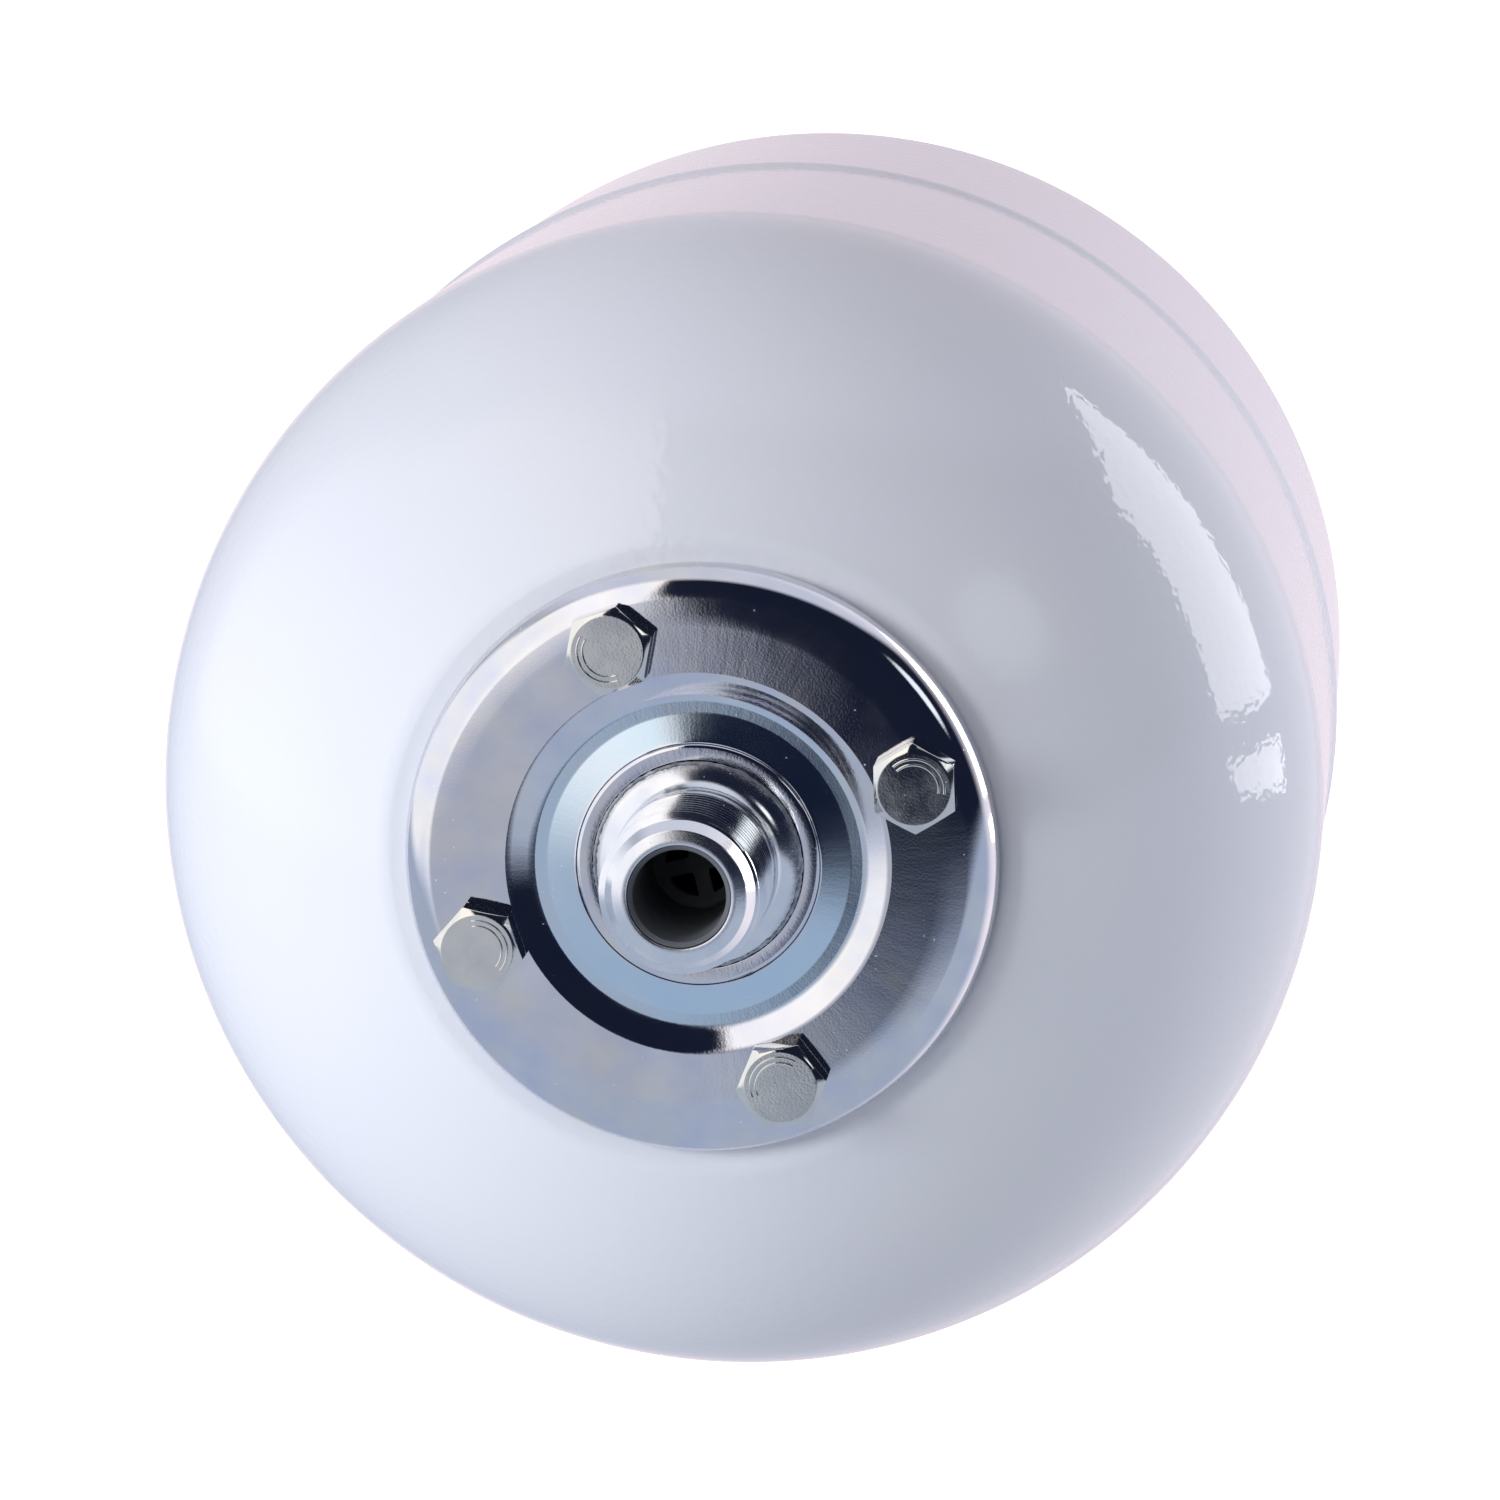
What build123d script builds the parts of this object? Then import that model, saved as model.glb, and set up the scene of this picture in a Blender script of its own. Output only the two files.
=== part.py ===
import os
from math import asin, atan2, cos, degrees, radians, sin, sqrt, tan

from build123d import *

# Small expansion vessel for water: an enamelled steel tank with a rubber bag inside.
# Z runs along the tank's axis. The connection points up, the air valve points down.
# Z = 0 is the lower end of the connection's thread.

# Tank
tank_radius = 100.0
sheet = 1.0
dome_depth = 71.5
front_skirt = 88.0
rear_skirt = 72.0
weld_width = 9.0
weld_height = 1.1
groove_depth = 0.6

# Connection nipple
thread_radius = 13.22
thread_length = 17.0
lead_radius = 12.1
lead_length = 3.0
face_radius = 10.5
bore_radius = 8.35
neck_radius = 12.4
neck_height = 8.0
nipple_base_radius = 16.6
nipple_base_step = 0.4
nipple_tail = 4.5

# Strainer sleeve in the nipple
sleeve_wall = 0.85
sleeve_fit = 0.05
sleeve_recess = 0.6
sleeve_lip_chamfer = 0.6
grid_depth = 28.6
grid_thickness = 2.0
grid_opening_radius = 5.5
grid_bar = 2.5
grid_turn = 13.8
sleeve_flange_radius = 11.5
sleeve_flange = 1.5

# Pressed flange plate
plate_thickness = 2.75
rim_margin = 10.6
rim_height = 6.0
rim_inside_bend = 1.05
channel_margin = 7.5
channel_slope_width = 3.5
channel_depth = 4.0
channel_inside_bend = 0.3
channel_floor_bend = 2.5
collar_drop = 0.8
collar_straight = 0.2

# Flange screws and the ring that takes them
bolt_count = 4
first_bolt_angle = 21.0
bolt_circle_radius = 38.2
bolt_radius = 4.0
bolt_length = 16.0
bolt_end_chamfer = 0.8
head_across_flats = 13.0
head_height = 5.3
head_face_radius = 5.9
head_chamfer_angle = 30.0
washer_face_radius = 6.1
washer_face_height = 0.35
head_turns = (31.5, 19.5, 48.5, 7.6)
bolt_hole_clearance = 0.5
thread_clearance = 0.05
ring_margin = 6.8
ring_thickness = 11.0
ring_hole_depth = 9.5
opening_margin = 6.7
seat_beyond_rim = 2.2
seat_blend = 6.0

# Rubber bag
bag_wall = 2.0
bag_lip_clearance = 0.3
bag_slope_clearance = 0.15
bag_neck_clearance = 0.2
bag_neck_below_ring = 6.0
bag_side_clearance = 21.0
bag_end_clearance = 52.0
bag_shoulder = 62.0
bag_bottom_depth = 55.0

# Air valve at the rear dome
valve_flat_radius = 17.0
boss_radius = 12.0
boss_spigot_radius = 9.0
boss_height = 7.0
boss_inside = 4.0
boss_edge_chamfer = 0.6
valve_thread_radius = 6.0
valve_thread_length = 10.0
valve_hex_flats = 17.0
valve_hex_height = 3.0
valve_hex_chamfer = 0.5
stem_radius = 3.85
stem_length = 12.0
stem_neck_radius = 3.3
stem_neck_length = 1.5
stem_chamfer = 0.5
air_way_radius = 1.9
o_ring_section = 0.75
o_ring_groove_depth = 1.3
o_ring_side_gap = 0.05

# Valve core, measured from the mouth of the stem inward
core_bore_radius = 2.65
core_bore_depth = 9.5
core_start = 1.0
core_wall_fit = 0.05
core_length = 7.3
core_bridge = 1.5
core_bridge_width = 2.2
core_chamber_radius = 1.75
core_ledge = 0.8
core_tail_radius = 1.75
core_tail_reach = 0.8
pin_radius = 0.6
pin_fit = 0.05
pin_start = 0.4
pin_tip_chamfer = 0.2
pin_collar_radius = 1.5
pin_collar_thickness = 0.5
pin_collar_gap = 0.1
seal_gap = 0.05
seal_radius = 1.55
seal_thickness = 1.2
spring_wire_radius = 0.16
spring_radius = 1.2
spring_turns = 5.0
spring_end_gap = 0.03

# Dust cap and protective cover
cap_wall = 1.3
cap_fit = 0.05
cap_grip = 8.5
cap_seal_thickness = 0.9
cap_seal_gap = 0.05
cap_end = 1.2
cap_rib_count = 12
cap_rib_radius = 0.45
cap_edge_radius = 0.5
cover_fit = 0.05
cover_wall = 1.5
cover_end_gap = 1.2
cover_rim_gap = 0.3
cover_draft = 0.5
cover_crown_radius = 4.0
cover_inner_crown_radius = 2.5
cover_bead = 0.9
cover_bead_height = 3.0

# Radii of the flange, all laid out from the circle of its screws
rim_radius = bolt_circle_radius + rim_margin
channel_top_radius = bolt_circle_radius - channel_margin
channel_floor_radius = channel_top_radius - channel_slope_width
ring_outer_radius = bolt_circle_radius + ring_margin
tank_opening_radius = bolt_circle_radius - opening_margin

# Heights of the connection end
tip_z = thread_length + lead_length
collar_z = -neck_height
plate_top_z = collar_z + collar_drop
rim_z = plate_top_z - rim_height
plate_under_z = plate_top_z - plate_thickness
floor_z = plate_top_z - channel_depth
nipple_tail_z = collar_z - nipple_tail
grid_top_z = tip_z - grid_depth

# Heights of the tank
seat_radius = rim_radius + seat_beyond_rim
seat_inside_z = rim_z - sheet
front_tangent_z = rim_z - dome_depth * sqrt(1 - (seat_radius / tank_radius) ** 2)
seam_z = front_tangent_z - front_skirt
rear_tangent_z = seam_z - rear_skirt
valve_flat_z = rear_tangent_z - dome_depth * sqrt(1 - (valve_flat_radius / tank_radius) ** 2)

# Heights of the air valve
boss_end_z = valve_flat_z - boss_height
hex_end_z = boss_end_z - valve_hex_height
mouth_z = hex_end_z - stem_length
core_start_z = mouth_z + core_start
core_end_z = core_start_z + core_length
bore_floor_z = mouth_z + core_bore_depth
ledge_z = core_end_z - core_ledge
core_tail_z = bore_floor_z + core_tail_reach
pin_start_z = mouth_z + pin_start
pin_collar_z = core_start_z + core_bridge + pin_collar_gap
seal_z = core_tail_z + seal_gap
cap_inside_z = mouth_z - cap_seal_thickness - 2 * cap_seal_gap
cap_end_z = cap_inside_z - cap_end
cover_inside_z = cap_end_z - cover_end_gap
cover_end_z = cover_inside_z - cover_wall

os.makedirs("parts", exist_ok=True)


# Wall section of one half of the tank: flat end, elliptical dome, skirt and weld preparation
def half_tank_profile(side, tangent_z, flat_z, hole_radius):
    inner_radius = tank_radius - sheet
    inner_depth = dome_depth - sheet
    outer_turn = degrees(asin(abs(flat_z - tangent_z) / dome_depth))
    inner_turn = degrees(asin((abs(flat_z - tangent_z) - sheet) / inner_depth))
    center = (0, tangent_z)
    with BuildSketch(Plane.XZ) as profile:
        with BuildLine():
            outer = EllipticalCenterArc(center, tank_radius, dome_depth, arc_size=side * outer_turn)
            inner = EllipticalCenterArc(center, inner_radius, inner_depth, arc_size=side * inner_turn)
            Polyline(
                outer @ 1,
                (hole_radius, flat_z),
                (hole_radius, flat_z - side * sheet),
                inner @ 1,
            )
            Polyline(
                outer @ 0,
                (tank_radius, seam_z + side * weld_width / 2),
                (tank_radius - groove_depth, seam_z),
                (inner_radius, seam_z),
                inner @ 0,
            )
        make_face()
        for corner in (outer @ 1, inner @ 1):
            fillet(profile.vertices().sort_by_distance(corner)[0], radius=seat_blend)
    return profile.sketch


# Front half of the tank, with the flat seat, its opening and the holes for the flange screws
with BuildPart() as front_shell:
    revolve(half_tank_profile(1, front_tangent_z, rim_z, tank_opening_radius), axis=Axis.Z)
    with BuildSketch(Plane.XY.offset(rim_z)):
        with PolarLocations(bolt_circle_radius, bolt_count, start_angle=first_bolt_angle):
            Circle(bolt_radius + bolt_hole_clearance)
    extrude(amount=-2 * sheet, mode=Mode.SUBTRACT)
front_shell.part.label = "front_shell"

# Rear half of the tank, with a small flat and a hole for the valve boss
with BuildPart() as rear_shell:
    revolve(half_tank_profile(-1, rear_tangent_z, valve_flat_z, boss_spigot_radius), axis=Axis.Z)
rear_shell.part.label = "rear_shell"

# Weld bead that fills the groove between the halves and stands a little proud of them
with BuildPart() as girth_weld:
    with BuildSketch(Plane.XZ):
        with BuildLine():
            crown = ThreePointArc(
                (tank_radius, seam_z - weld_width / 2),
                (tank_radius + weld_height, seam_z),
                (tank_radius, seam_z + weld_width / 2),
            )
            Polyline(
                crown @ 1,
                (tank_radius - groove_depth, seam_z),
                crown @ 0,
            )
        make_face()
    revolve(axis=Axis.Z)
girth_weld.part.label = "girth_weld"

# Thick ring welded under the seat, with blind tapped holes so that no air leaks past the screws
with BuildPart() as counter_ring:
    with BuildSketch(Plane.XY.offset(seat_inside_z)):
        Circle(ring_outer_radius)
        Circle(tank_opening_radius, mode=Mode.SUBTRACT)
    extrude(amount=-ring_thickness)
    with BuildSketch(Plane.XY.offset(seat_inside_z)):
        with PolarLocations(bolt_circle_radius, bolt_count, start_angle=first_bolt_angle):
            Circle(bolt_radius + thread_clearance)
    extrude(amount=-ring_hole_depth, mode=Mode.SUBTRACT)
counter_ring.part.label = "counter_ring"

# Pressed flange plate: rolled-down rim, raised ring, sunken channel and a collar drawn up round the nipple.
# The sheet's cut edge is the collar's flat top.
collar_radius = nipple_base_radius + plate_thickness
collar_bend = collar_z - floor_z - collar_straight
with BuildPart() as flange_plate:
    with BuildSketch(Plane.XZ):
        with BuildLine():
            top = FilletPolyline(
                (rim_radius, rim_z),
                (rim_radius, plate_top_z),
                (channel_top_radius, plate_top_z),
                (channel_floor_radius, floor_z),
                (collar_radius, floor_z),
                (collar_radius, collar_z),
                radius=(
                    plate_thickness + rim_inside_bend,
                    plate_thickness + channel_inside_bend,
                    channel_floor_bend,
                    collar_bend,
                ),
            )
            offset(top, amount=plate_thickness, side=Side.LEFT)
        make_face()
    revolve(axis=Axis.Z)
    with BuildSketch(Plane.XY.offset(plate_top_z)):
        with PolarLocations(bolt_circle_radius, bolt_count, start_angle=first_bolt_angle):
            Circle(bolt_radius + bolt_hole_clearance)
    extrude(amount=-2 * plate_thickness, mode=Mode.SUBTRACT)
flange_plate.part.label = "flange_plate"

# Turned nipple: chamfered lead, thread, relief, neck that sweeps out to the base, and tail in the collar
neck_sweep = nipple_base_radius - neck_radius
sweep_z = collar_z + nipple_base_step
with BuildPart() as nipple:
    with BuildSketch(Plane.XZ):
        with BuildLine():
            neck = CenterArc((nipple_base_radius, sweep_z + neck_sweep), neck_sweep, 180, 90)
            Polyline(
                neck @ 1,
                (nipple_base_radius, nipple_tail_z),
                (bore_radius, nipple_tail_z),
                (bore_radius, tip_z),
                (face_radius, tip_z),
                (lead_radius, tip_z - (lead_radius - face_radius)),
                (lead_radius, thread_length + (thread_radius - lead_radius)),
                (thread_radius, thread_length),
                (thread_radius, 0),
                (neck_radius, -(thread_radius - neck_radius)),
                neck @ 0,
            )
        make_face()
    revolve(axis=Axis.Z)
nipple.part.label = "nipple"

# Plastic sleeve that lines the bore, with a cross-shaped grid that keeps the bag out of the pipe
sleeve_radius = bore_radius - sleeve_fit
sleeve_bore = sleeve_radius - sleeve_wall
sleeve_top_z = tip_z - sleeve_recess
sleeve_end_z = nipple_tail_z - sleeve_flange
with BuildPart() as strainer_insert:
    with BuildSketch(Plane.XZ):
        with BuildLine():
            Polyline(
                (0, grid_top_z),
                (sleeve_bore, grid_top_z),
                (sleeve_bore, sleeve_top_z - sleeve_lip_chamfer),
                (sleeve_bore + sleeve_lip_chamfer, sleeve_top_z),
                (sleeve_radius, sleeve_top_z),
                (sleeve_radius, nipple_tail_z),
                (sleeve_flange_radius, nipple_tail_z),
                (sleeve_flange_radius, sleeve_end_z),
                (sleeve_bore, sleeve_end_z),
                (sleeve_bore, grid_top_z - grid_thickness),
                (0, grid_top_z - grid_thickness),
                close=True,
            )
        make_face()
    revolve(axis=Axis.Z)
    with BuildSketch(Plane.XY.offset(grid_top_z)):
        Circle(grid_opening_radius)
        for turn in (grid_turn, grid_turn + 90):
            Rectangle(2 * sleeve_bore, grid_bar, rotation=turn, mode=Mode.SUBTRACT)
    extrude(amount=-2 * grid_thickness, mode=Mode.SUBTRACT)
strainer_insert.part.label = "strainer_insert"

# Flange screws: each head stops at its own turn when it is tight
head_slope = tan(radians(head_chamfer_angle))
for number, turn in enumerate(head_turns):
    place = radians(first_bolt_angle + number * 360 / bolt_count)
    seat = Plane.XY.offset(plate_top_z).move(
        Location((bolt_circle_radius * cos(place), bolt_circle_radius * sin(place), 0))
    )
    with BuildPart(seat) as flange_bolt:
        with BuildSketch(seat.offset(washer_face_height)):
            RegularPolygon(head_across_flats / 2, 6, major_radius=False, rotation=turn)
        extrude(amount=head_height - washer_face_height)
        Cone(
            head_face_radius + head_height / head_slope,
            head_face_radius,
            head_height,
            align=(Align.CENTER, Align.CENTER, Align.MIN),
            mode=Mode.INTERSECT,
        )
        Cylinder(washer_face_radius, washer_face_height, align=(Align.CENTER, Align.CENTER, Align.MIN))
        Cylinder(bolt_radius, bolt_length, align=(Align.CENTER, Align.CENTER, Align.MAX))
        chamfer(flange_bolt.edges().sort_by(Axis.Z)[0], length=bolt_end_chamfer)
    flange_bolt.part.label = f"flange_bolt_{number + 1}"
    export_step(flange_bolt.part, f"parts/{flange_bolt.part.label}.step")

# Rubber bag: its lip is clamped between the plate, the seat and the plate's sloped channel wall
slope_angle = atan2(channel_depth, channel_top_radius - channel_floor_radius)
slope_shift = plate_thickness * tan(slope_angle / 2)
lip_radius = bolt_circle_radius - bolt_radius - bolt_hole_clearance - bag_lip_clearance
slope_top_radius = channel_top_radius + slope_shift + bag_slope_clearance
neck_outer = tank_opening_radius - bag_neck_clearance
neck_inner = neck_outer - bag_wall
neck_top_z = plate_under_z - (slope_top_radius - neck_inner) * tan(slope_angle)
neck_end_z = seat_inside_z - ring_thickness - bag_neck_below_ring
bag_radius = tank_radius - sheet - bag_side_clearance
bag_end_z = valve_flat_z + sheet + bag_end_clearance


# Outline of the bag below its neck, drawn inward by the wall for the inside
def bag_body(neck, inset):
    widest = (bag_radius - inset, neck_end_z - bag_shoulder)
    bottom_top_z = bag_end_z + bag_bottom_depth
    shoulder = Spline((neck, neck_end_z), widest, tangents=((0, -1), (0, -1)))
    side = Line(shoulder @ 1, (bag_radius - inset, bottom_top_z))
    EllipticalCenterArc((0, bottom_top_z), bag_radius - inset, bag_bottom_depth - inset, start_angle=-90)
    return side


with BuildPart() as membrane:
    with BuildSketch(Plane.XZ):
        with BuildLine():
            bag_body(neck_outer, 0)
            Polyline(
                (neck_outer, neck_end_z),
                (neck_outer, rim_z),
                (lip_radius, rim_z),
                (lip_radius, plate_under_z),
                (slope_top_radius, plate_under_z),
                (neck_inner, neck_top_z),
                (0, neck_top_z),
                (0, bag_end_z),
            )
        make_face()
    revolve(axis=Axis.Z)
    with BuildSketch(Plane.XZ):
        with BuildLine():
            bag_body(neck_inner, bag_wall)
            Polyline(
                (neck_inner, neck_end_z),
                (neck_inner, neck_top_z),
                (0, neck_top_z),
                (0, bag_end_z + bag_wall),
            )
        make_face()
    revolve(axis=Axis.Z, mode=Mode.SUBTRACT)
membrane.part.label = "membrane"

# Steel bush welded in the rear flat: its spigot fills the hole, its outer part carries valve and cover
with BuildPart() as valve_boss:
    with BuildSketch(Plane.XY.offset(boss_end_z)):
        Circle(boss_radius)
    extrude(amount=boss_height)
    with BuildSketch(Plane.XY.offset(valve_flat_z)):
        Circle(boss_spigot_radius)
    extrude(amount=sheet + boss_inside)
    chamfer(valve_boss.edges().sort_by(Axis.Z)[0], length=boss_edge_chamfer)
    with BuildSketch(Plane.XY.offset(boss_end_z)):
        Circle(valve_thread_radius + thread_clearance)
    extrude(amount=boss_height + sheet + boss_inside, mode=Mode.SUBTRACT)
valve_boss.part.label = "valve_boss"

# Brass valve body: threaded spigot, hexagon with the groove for its ring seal, and the stem
o_ring_radius = valve_thread_radius + thread_clearance + o_ring_side_gap + o_ring_section
with BuildPart() as valve_body:
    with BuildSketch(Plane.XY.offset(hex_end_z)):
        RegularPolygon(valve_hex_flats / 2, 6, major_radius=False)
    extrude(amount=valve_hex_height)
    hexagon_rim = valve_body.faces().sort_by(Axis.Z)[0].edges()
    chamfer(hexagon_rim, length=valve_hex_chamfer)
    with BuildSketch(Plane.XY.offset(boss_end_z)):
        Circle(o_ring_radius + o_ring_section + o_ring_side_gap)
    extrude(amount=-o_ring_groove_depth, mode=Mode.SUBTRACT)
    with BuildSketch(Plane.XZ):
        with BuildLine():
            Polyline(
                (0, mouth_z),
                (stem_radius - stem_chamfer, mouth_z),
                (stem_radius, mouth_z + stem_chamfer),
                (stem_radius, hex_end_z - stem_neck_length),
                (stem_neck_radius, hex_end_z - stem_neck_length),
                (stem_neck_radius, hex_end_z),
                (valve_thread_radius, hex_end_z),
                (valve_thread_radius, boss_end_z + valve_thread_length),
                (0, boss_end_z + valve_thread_length),
                close=True,
            )
        make_face()
    revolve(axis=Axis.Z)
    with BuildSketch(Plane.XY.offset(mouth_z)):
        Circle(core_bore_radius)
    extrude(amount=core_bore_depth, mode=Mode.SUBTRACT)
    with BuildSketch(Plane.XY.offset(mouth_z)):
        Circle(air_way_radius)
    extrude(amount=boss_end_z + valve_thread_length - mouth_z, mode=Mode.SUBTRACT)
valve_body.part.label = "valve_body"

# Ring seal squeezed between the hexagon and the boss
with BuildPart() as valve_o_ring:
    with BuildSketch(Plane.XZ):
        with Locations((o_ring_radius, boss_end_z - o_ring_groove_depth / 2)):
            Ellipse(o_ring_section, o_ring_groove_depth / 2)
    revolve(axis=Axis.Z)
valve_o_ring.part.label = "valve_o_ring"

# Barrel of the valve core: a bridge for the key at the mouth, a spring chamber and the seat at its tail
core_radius = core_bore_radius - core_wall_fit
pin_hole_radius = pin_radius + pin_fit
with BuildPart() as core_barrel:
    with BuildSketch(Plane.XZ):
        with BuildLine():
            Polyline(
                (pin_hole_radius, core_start_z),
                (core_radius, core_start_z),
                (core_radius, core_end_z),
                (core_tail_radius, core_end_z),
                (core_tail_radius, core_tail_z),
                (pin_hole_radius, core_tail_z),
                (pin_hole_radius, ledge_z),
                (core_chamber_radius, ledge_z),
                (core_chamber_radius, core_start_z + core_bridge),
                (pin_hole_radius, core_start_z + core_bridge),
                close=True,
            )
        make_face()
    revolve(axis=Axis.Z)
    with BuildSketch(Plane.XY.offset(core_start_z)):
        Circle(core_radius)
        Rectangle(2 * core_radius, core_bridge_width, mode=Mode.SUBTRACT)
    extrude(amount=core_bridge, mode=Mode.SUBTRACT)
core_barrel.part.label = "core_barrel"

# Ring seal between the barrel and the shoulder of the stem's bore
with BuildPart() as core_gasket:
    with BuildSketch(Plane.XY.offset(core_end_z)):
        Circle(core_radius)
        Circle(core_tail_radius + core_wall_fit, mode=Mode.SUBTRACT)
    extrude(amount=bore_floor_z - core_end_z)
core_gasket.part.label = "core_gasket"

# Pin with the crimped collar that the spring pushes outward
with BuildPart() as core_pin:
    with BuildSketch(Plane.XY.offset(pin_start_z)):
        Circle(pin_radius)
    extrude(amount=seal_z + seal_thickness / 2 - pin_start_z)
    with BuildSketch(Plane.XY.offset(pin_collar_z)):
        Circle(pin_collar_radius)
    extrude(amount=pin_collar_thickness)
    chamfer(core_pin.edges().sort_by(Axis.Z)[0], length=pin_tip_chamfer)
core_pin.part.label = "core_pin"

# Rubber seal on the inner end of the pin
with BuildPart() as core_seal:
    with BuildSketch(Plane.XY.offset(seal_z)):
        Circle(seal_radius)
    extrude(amount=seal_thickness)
    with BuildSketch(Plane.XY.offset(seal_z)):
        Circle(pin_radius)
    extrude(amount=seal_thickness / 2, mode=Mode.SUBTRACT)
core_seal.part.label = "core_seal"

# Coil spring in the barrel's chamber
spring_start_z = pin_collar_z + pin_collar_thickness + spring_end_gap + spring_wire_radius
spring_end_z = ledge_z - spring_end_gap - spring_wire_radius
with BuildPart() as core_spring:
    with BuildLine():
        coil = Helix(
            (spring_end_z - spring_start_z) / spring_turns,
            spring_end_z - spring_start_z,
            spring_radius,
            center=(0, 0, spring_start_z),
        )
    with BuildSketch(Plane(origin=coil @ 0, z_dir=coil % 0)):
        Circle(spring_wire_radius)
    sweep()
core_spring.part.label = "core_spring"

# Dust cap on the stem, with ribs for the fingers
cap_bore = stem_radius + cap_fit
cap_radius = cap_bore + cap_wall
cap_length = mouth_z + cap_grip - cap_end_z
with BuildPart() as dust_cap:
    with BuildSketch(Plane.XY.offset(cap_end_z)):
        Circle(cap_radius)
    extrude(amount=cap_length)
    fillet(dust_cap.edges().sort_by(Axis.Z)[0], radius=cap_edge_radius)
    with BuildSketch(Plane.XY.offset(cap_end_z + cap_end)):
        with PolarLocations(cap_radius, cap_rib_count):
            Circle(cap_rib_radius)
    extrude(amount=cap_length - cap_end, mode=Mode.SUBTRACT)
    with BuildSketch(Plane.XY.offset(cap_inside_z)):
        Circle(cap_bore)
    extrude(amount=cap_length, mode=Mode.SUBTRACT)
dust_cap.part.label = "dust_cap"

# Rubber disc in the end of the dust cap
with BuildPart() as dust_cap_seal:
    with BuildSketch(Plane.XY.offset(cap_inside_z + cap_seal_gap)):
        Circle(stem_radius)
    extrude(amount=cap_seal_thickness)
dust_cap_seal.part.label = "dust_cap_seal"

# Protective cover pushed over the boss, with a rolled bead at its open edge
cover_bore = boss_radius + cover_fit
cover_radius = cover_bore + cover_wall
cover_rim_z = valve_flat_z - cover_rim_gap
with BuildPart() as valve_cover:
    with BuildSketch(Plane.XZ):
        with BuildLine():
            FilletPolyline(
                (0, cover_end_z),
                (cover_radius - cover_draft, cover_end_z),
                (cover_radius, cover_rim_z - cover_bead_height),
                (cover_radius + cover_bead, cover_rim_z - cover_bead_height + cover_bead),
                (cover_radius + cover_bead, cover_rim_z),
                (cover_bore, cover_rim_z),
                radius=(cover_crown_radius, cover_bead / 2, cover_bead / 2, cover_bead / 2),
            )
            FilletPolyline(
                (cover_bore, cover_rim_z),
                (cover_bore, cover_inside_z),
                (0, cover_inside_z),
                radius=cover_inner_crown_radius,
            )
            Line((0, cover_inside_z), (0, cover_end_z))
        make_face()
    revolve(axis=Axis.Z)
valve_cover.part.label = "valve_cover"

for piece in (
    front_shell,
    rear_shell,
    girth_weld,
    counter_ring,
    flange_plate,
    nipple,
    strainer_insert,
    membrane,
    valve_boss,
    valve_body,
    valve_o_ring,
    core_barrel,
    core_gasket,
    core_pin,
    core_seal,
    core_spring,
    dust_cap,
    dust_cap_seal,
    valve_cover,
):
    export_step(piece.part, f"parts/{piece.part.label}.step")
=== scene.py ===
import bmesh
import bpy
from math import asin, atan2, cos, hypot, pi, radians, sin, tan
from mathutils import Matrix, Vector, noise


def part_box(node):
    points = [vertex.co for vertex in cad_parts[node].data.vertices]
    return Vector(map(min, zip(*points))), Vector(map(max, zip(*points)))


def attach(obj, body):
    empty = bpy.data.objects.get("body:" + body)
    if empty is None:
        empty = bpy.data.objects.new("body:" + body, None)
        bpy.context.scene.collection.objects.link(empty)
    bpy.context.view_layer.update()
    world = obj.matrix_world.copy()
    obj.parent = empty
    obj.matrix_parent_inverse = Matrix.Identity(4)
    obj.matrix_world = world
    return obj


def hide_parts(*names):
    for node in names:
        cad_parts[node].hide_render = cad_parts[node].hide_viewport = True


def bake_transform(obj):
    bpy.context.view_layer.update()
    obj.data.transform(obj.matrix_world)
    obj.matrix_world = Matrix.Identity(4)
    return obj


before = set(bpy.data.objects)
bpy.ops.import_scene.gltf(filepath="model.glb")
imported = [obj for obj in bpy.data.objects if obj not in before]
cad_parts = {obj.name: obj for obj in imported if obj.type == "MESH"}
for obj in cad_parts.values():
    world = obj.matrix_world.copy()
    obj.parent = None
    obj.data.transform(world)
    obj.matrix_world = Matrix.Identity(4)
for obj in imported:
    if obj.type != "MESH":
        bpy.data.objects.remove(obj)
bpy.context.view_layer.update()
print("frame loaded")

mm = 0.001                      # sizes in the dictionaries are in millimetres
fullTurn = 2 * pi
mergeDistance = 0.0005          # points nearer than this become one
loopReach = 0.01                # points this near to a height, a radius or each other count as there
origin = (0, 0, 0)
upAxis = Vector((0, 0, 1))


# Mesh helpers. Every piece is drawn in millimetres and scaled when it is finished.

def wholeShape(bm):
    return bm.verts[:] + bm.edges[:] + bm.faces[:]


def onlyKind(items, kind):
    return [item for item in items if isinstance(item, kind)]


def takeMesh(bm, name):
    mesh = bpy.data.meshes.new(name)
    bm.to_mesh(mesh)
    bm.free()
    return mesh


def inMetres(bm, name):
    bmesh.ops.scale(bm, vec=(mm, mm, mm), verts=bm.verts)
    return takeMesh(bm, name)


def joinMesh(bm, other):
    mesh = takeMesh(other, "joined")
    bm.from_mesh(mesh)
    bpy.data.meshes.remove(mesh)


def addObject(name, content):
    thing = bpy.data.objects.new(name, content)
    bpy.context.scene.collection.objects.link(thing)
    return thing


def startRing(bm, segments, radius, z):          # a flat ring of edges, from which nextRing goes on
    bmesh.ops.create_circle(bm, segments=segments, radius=radius)
    bmesh.ops.translate(bm, vec=(0, 0, z), verts=bm.verts)
    return bm.edges[:]


def nextRing(bm, edges, place):                  # place gives the radius and height at each turn
    grown = bmesh.ops.extrude_edge_only(bm, edges=edges)["geom"]
    for vert in onlyKind(grown, bmesh.types.BMVert):
        turn = atan2(vert.co.y, vert.co.x)
        radius, z = place(turn)
        vert.co = (radius * cos(turn), radius * sin(turn), z)
    return onlyKind(grown, bmesh.types.BMEdge)


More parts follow.
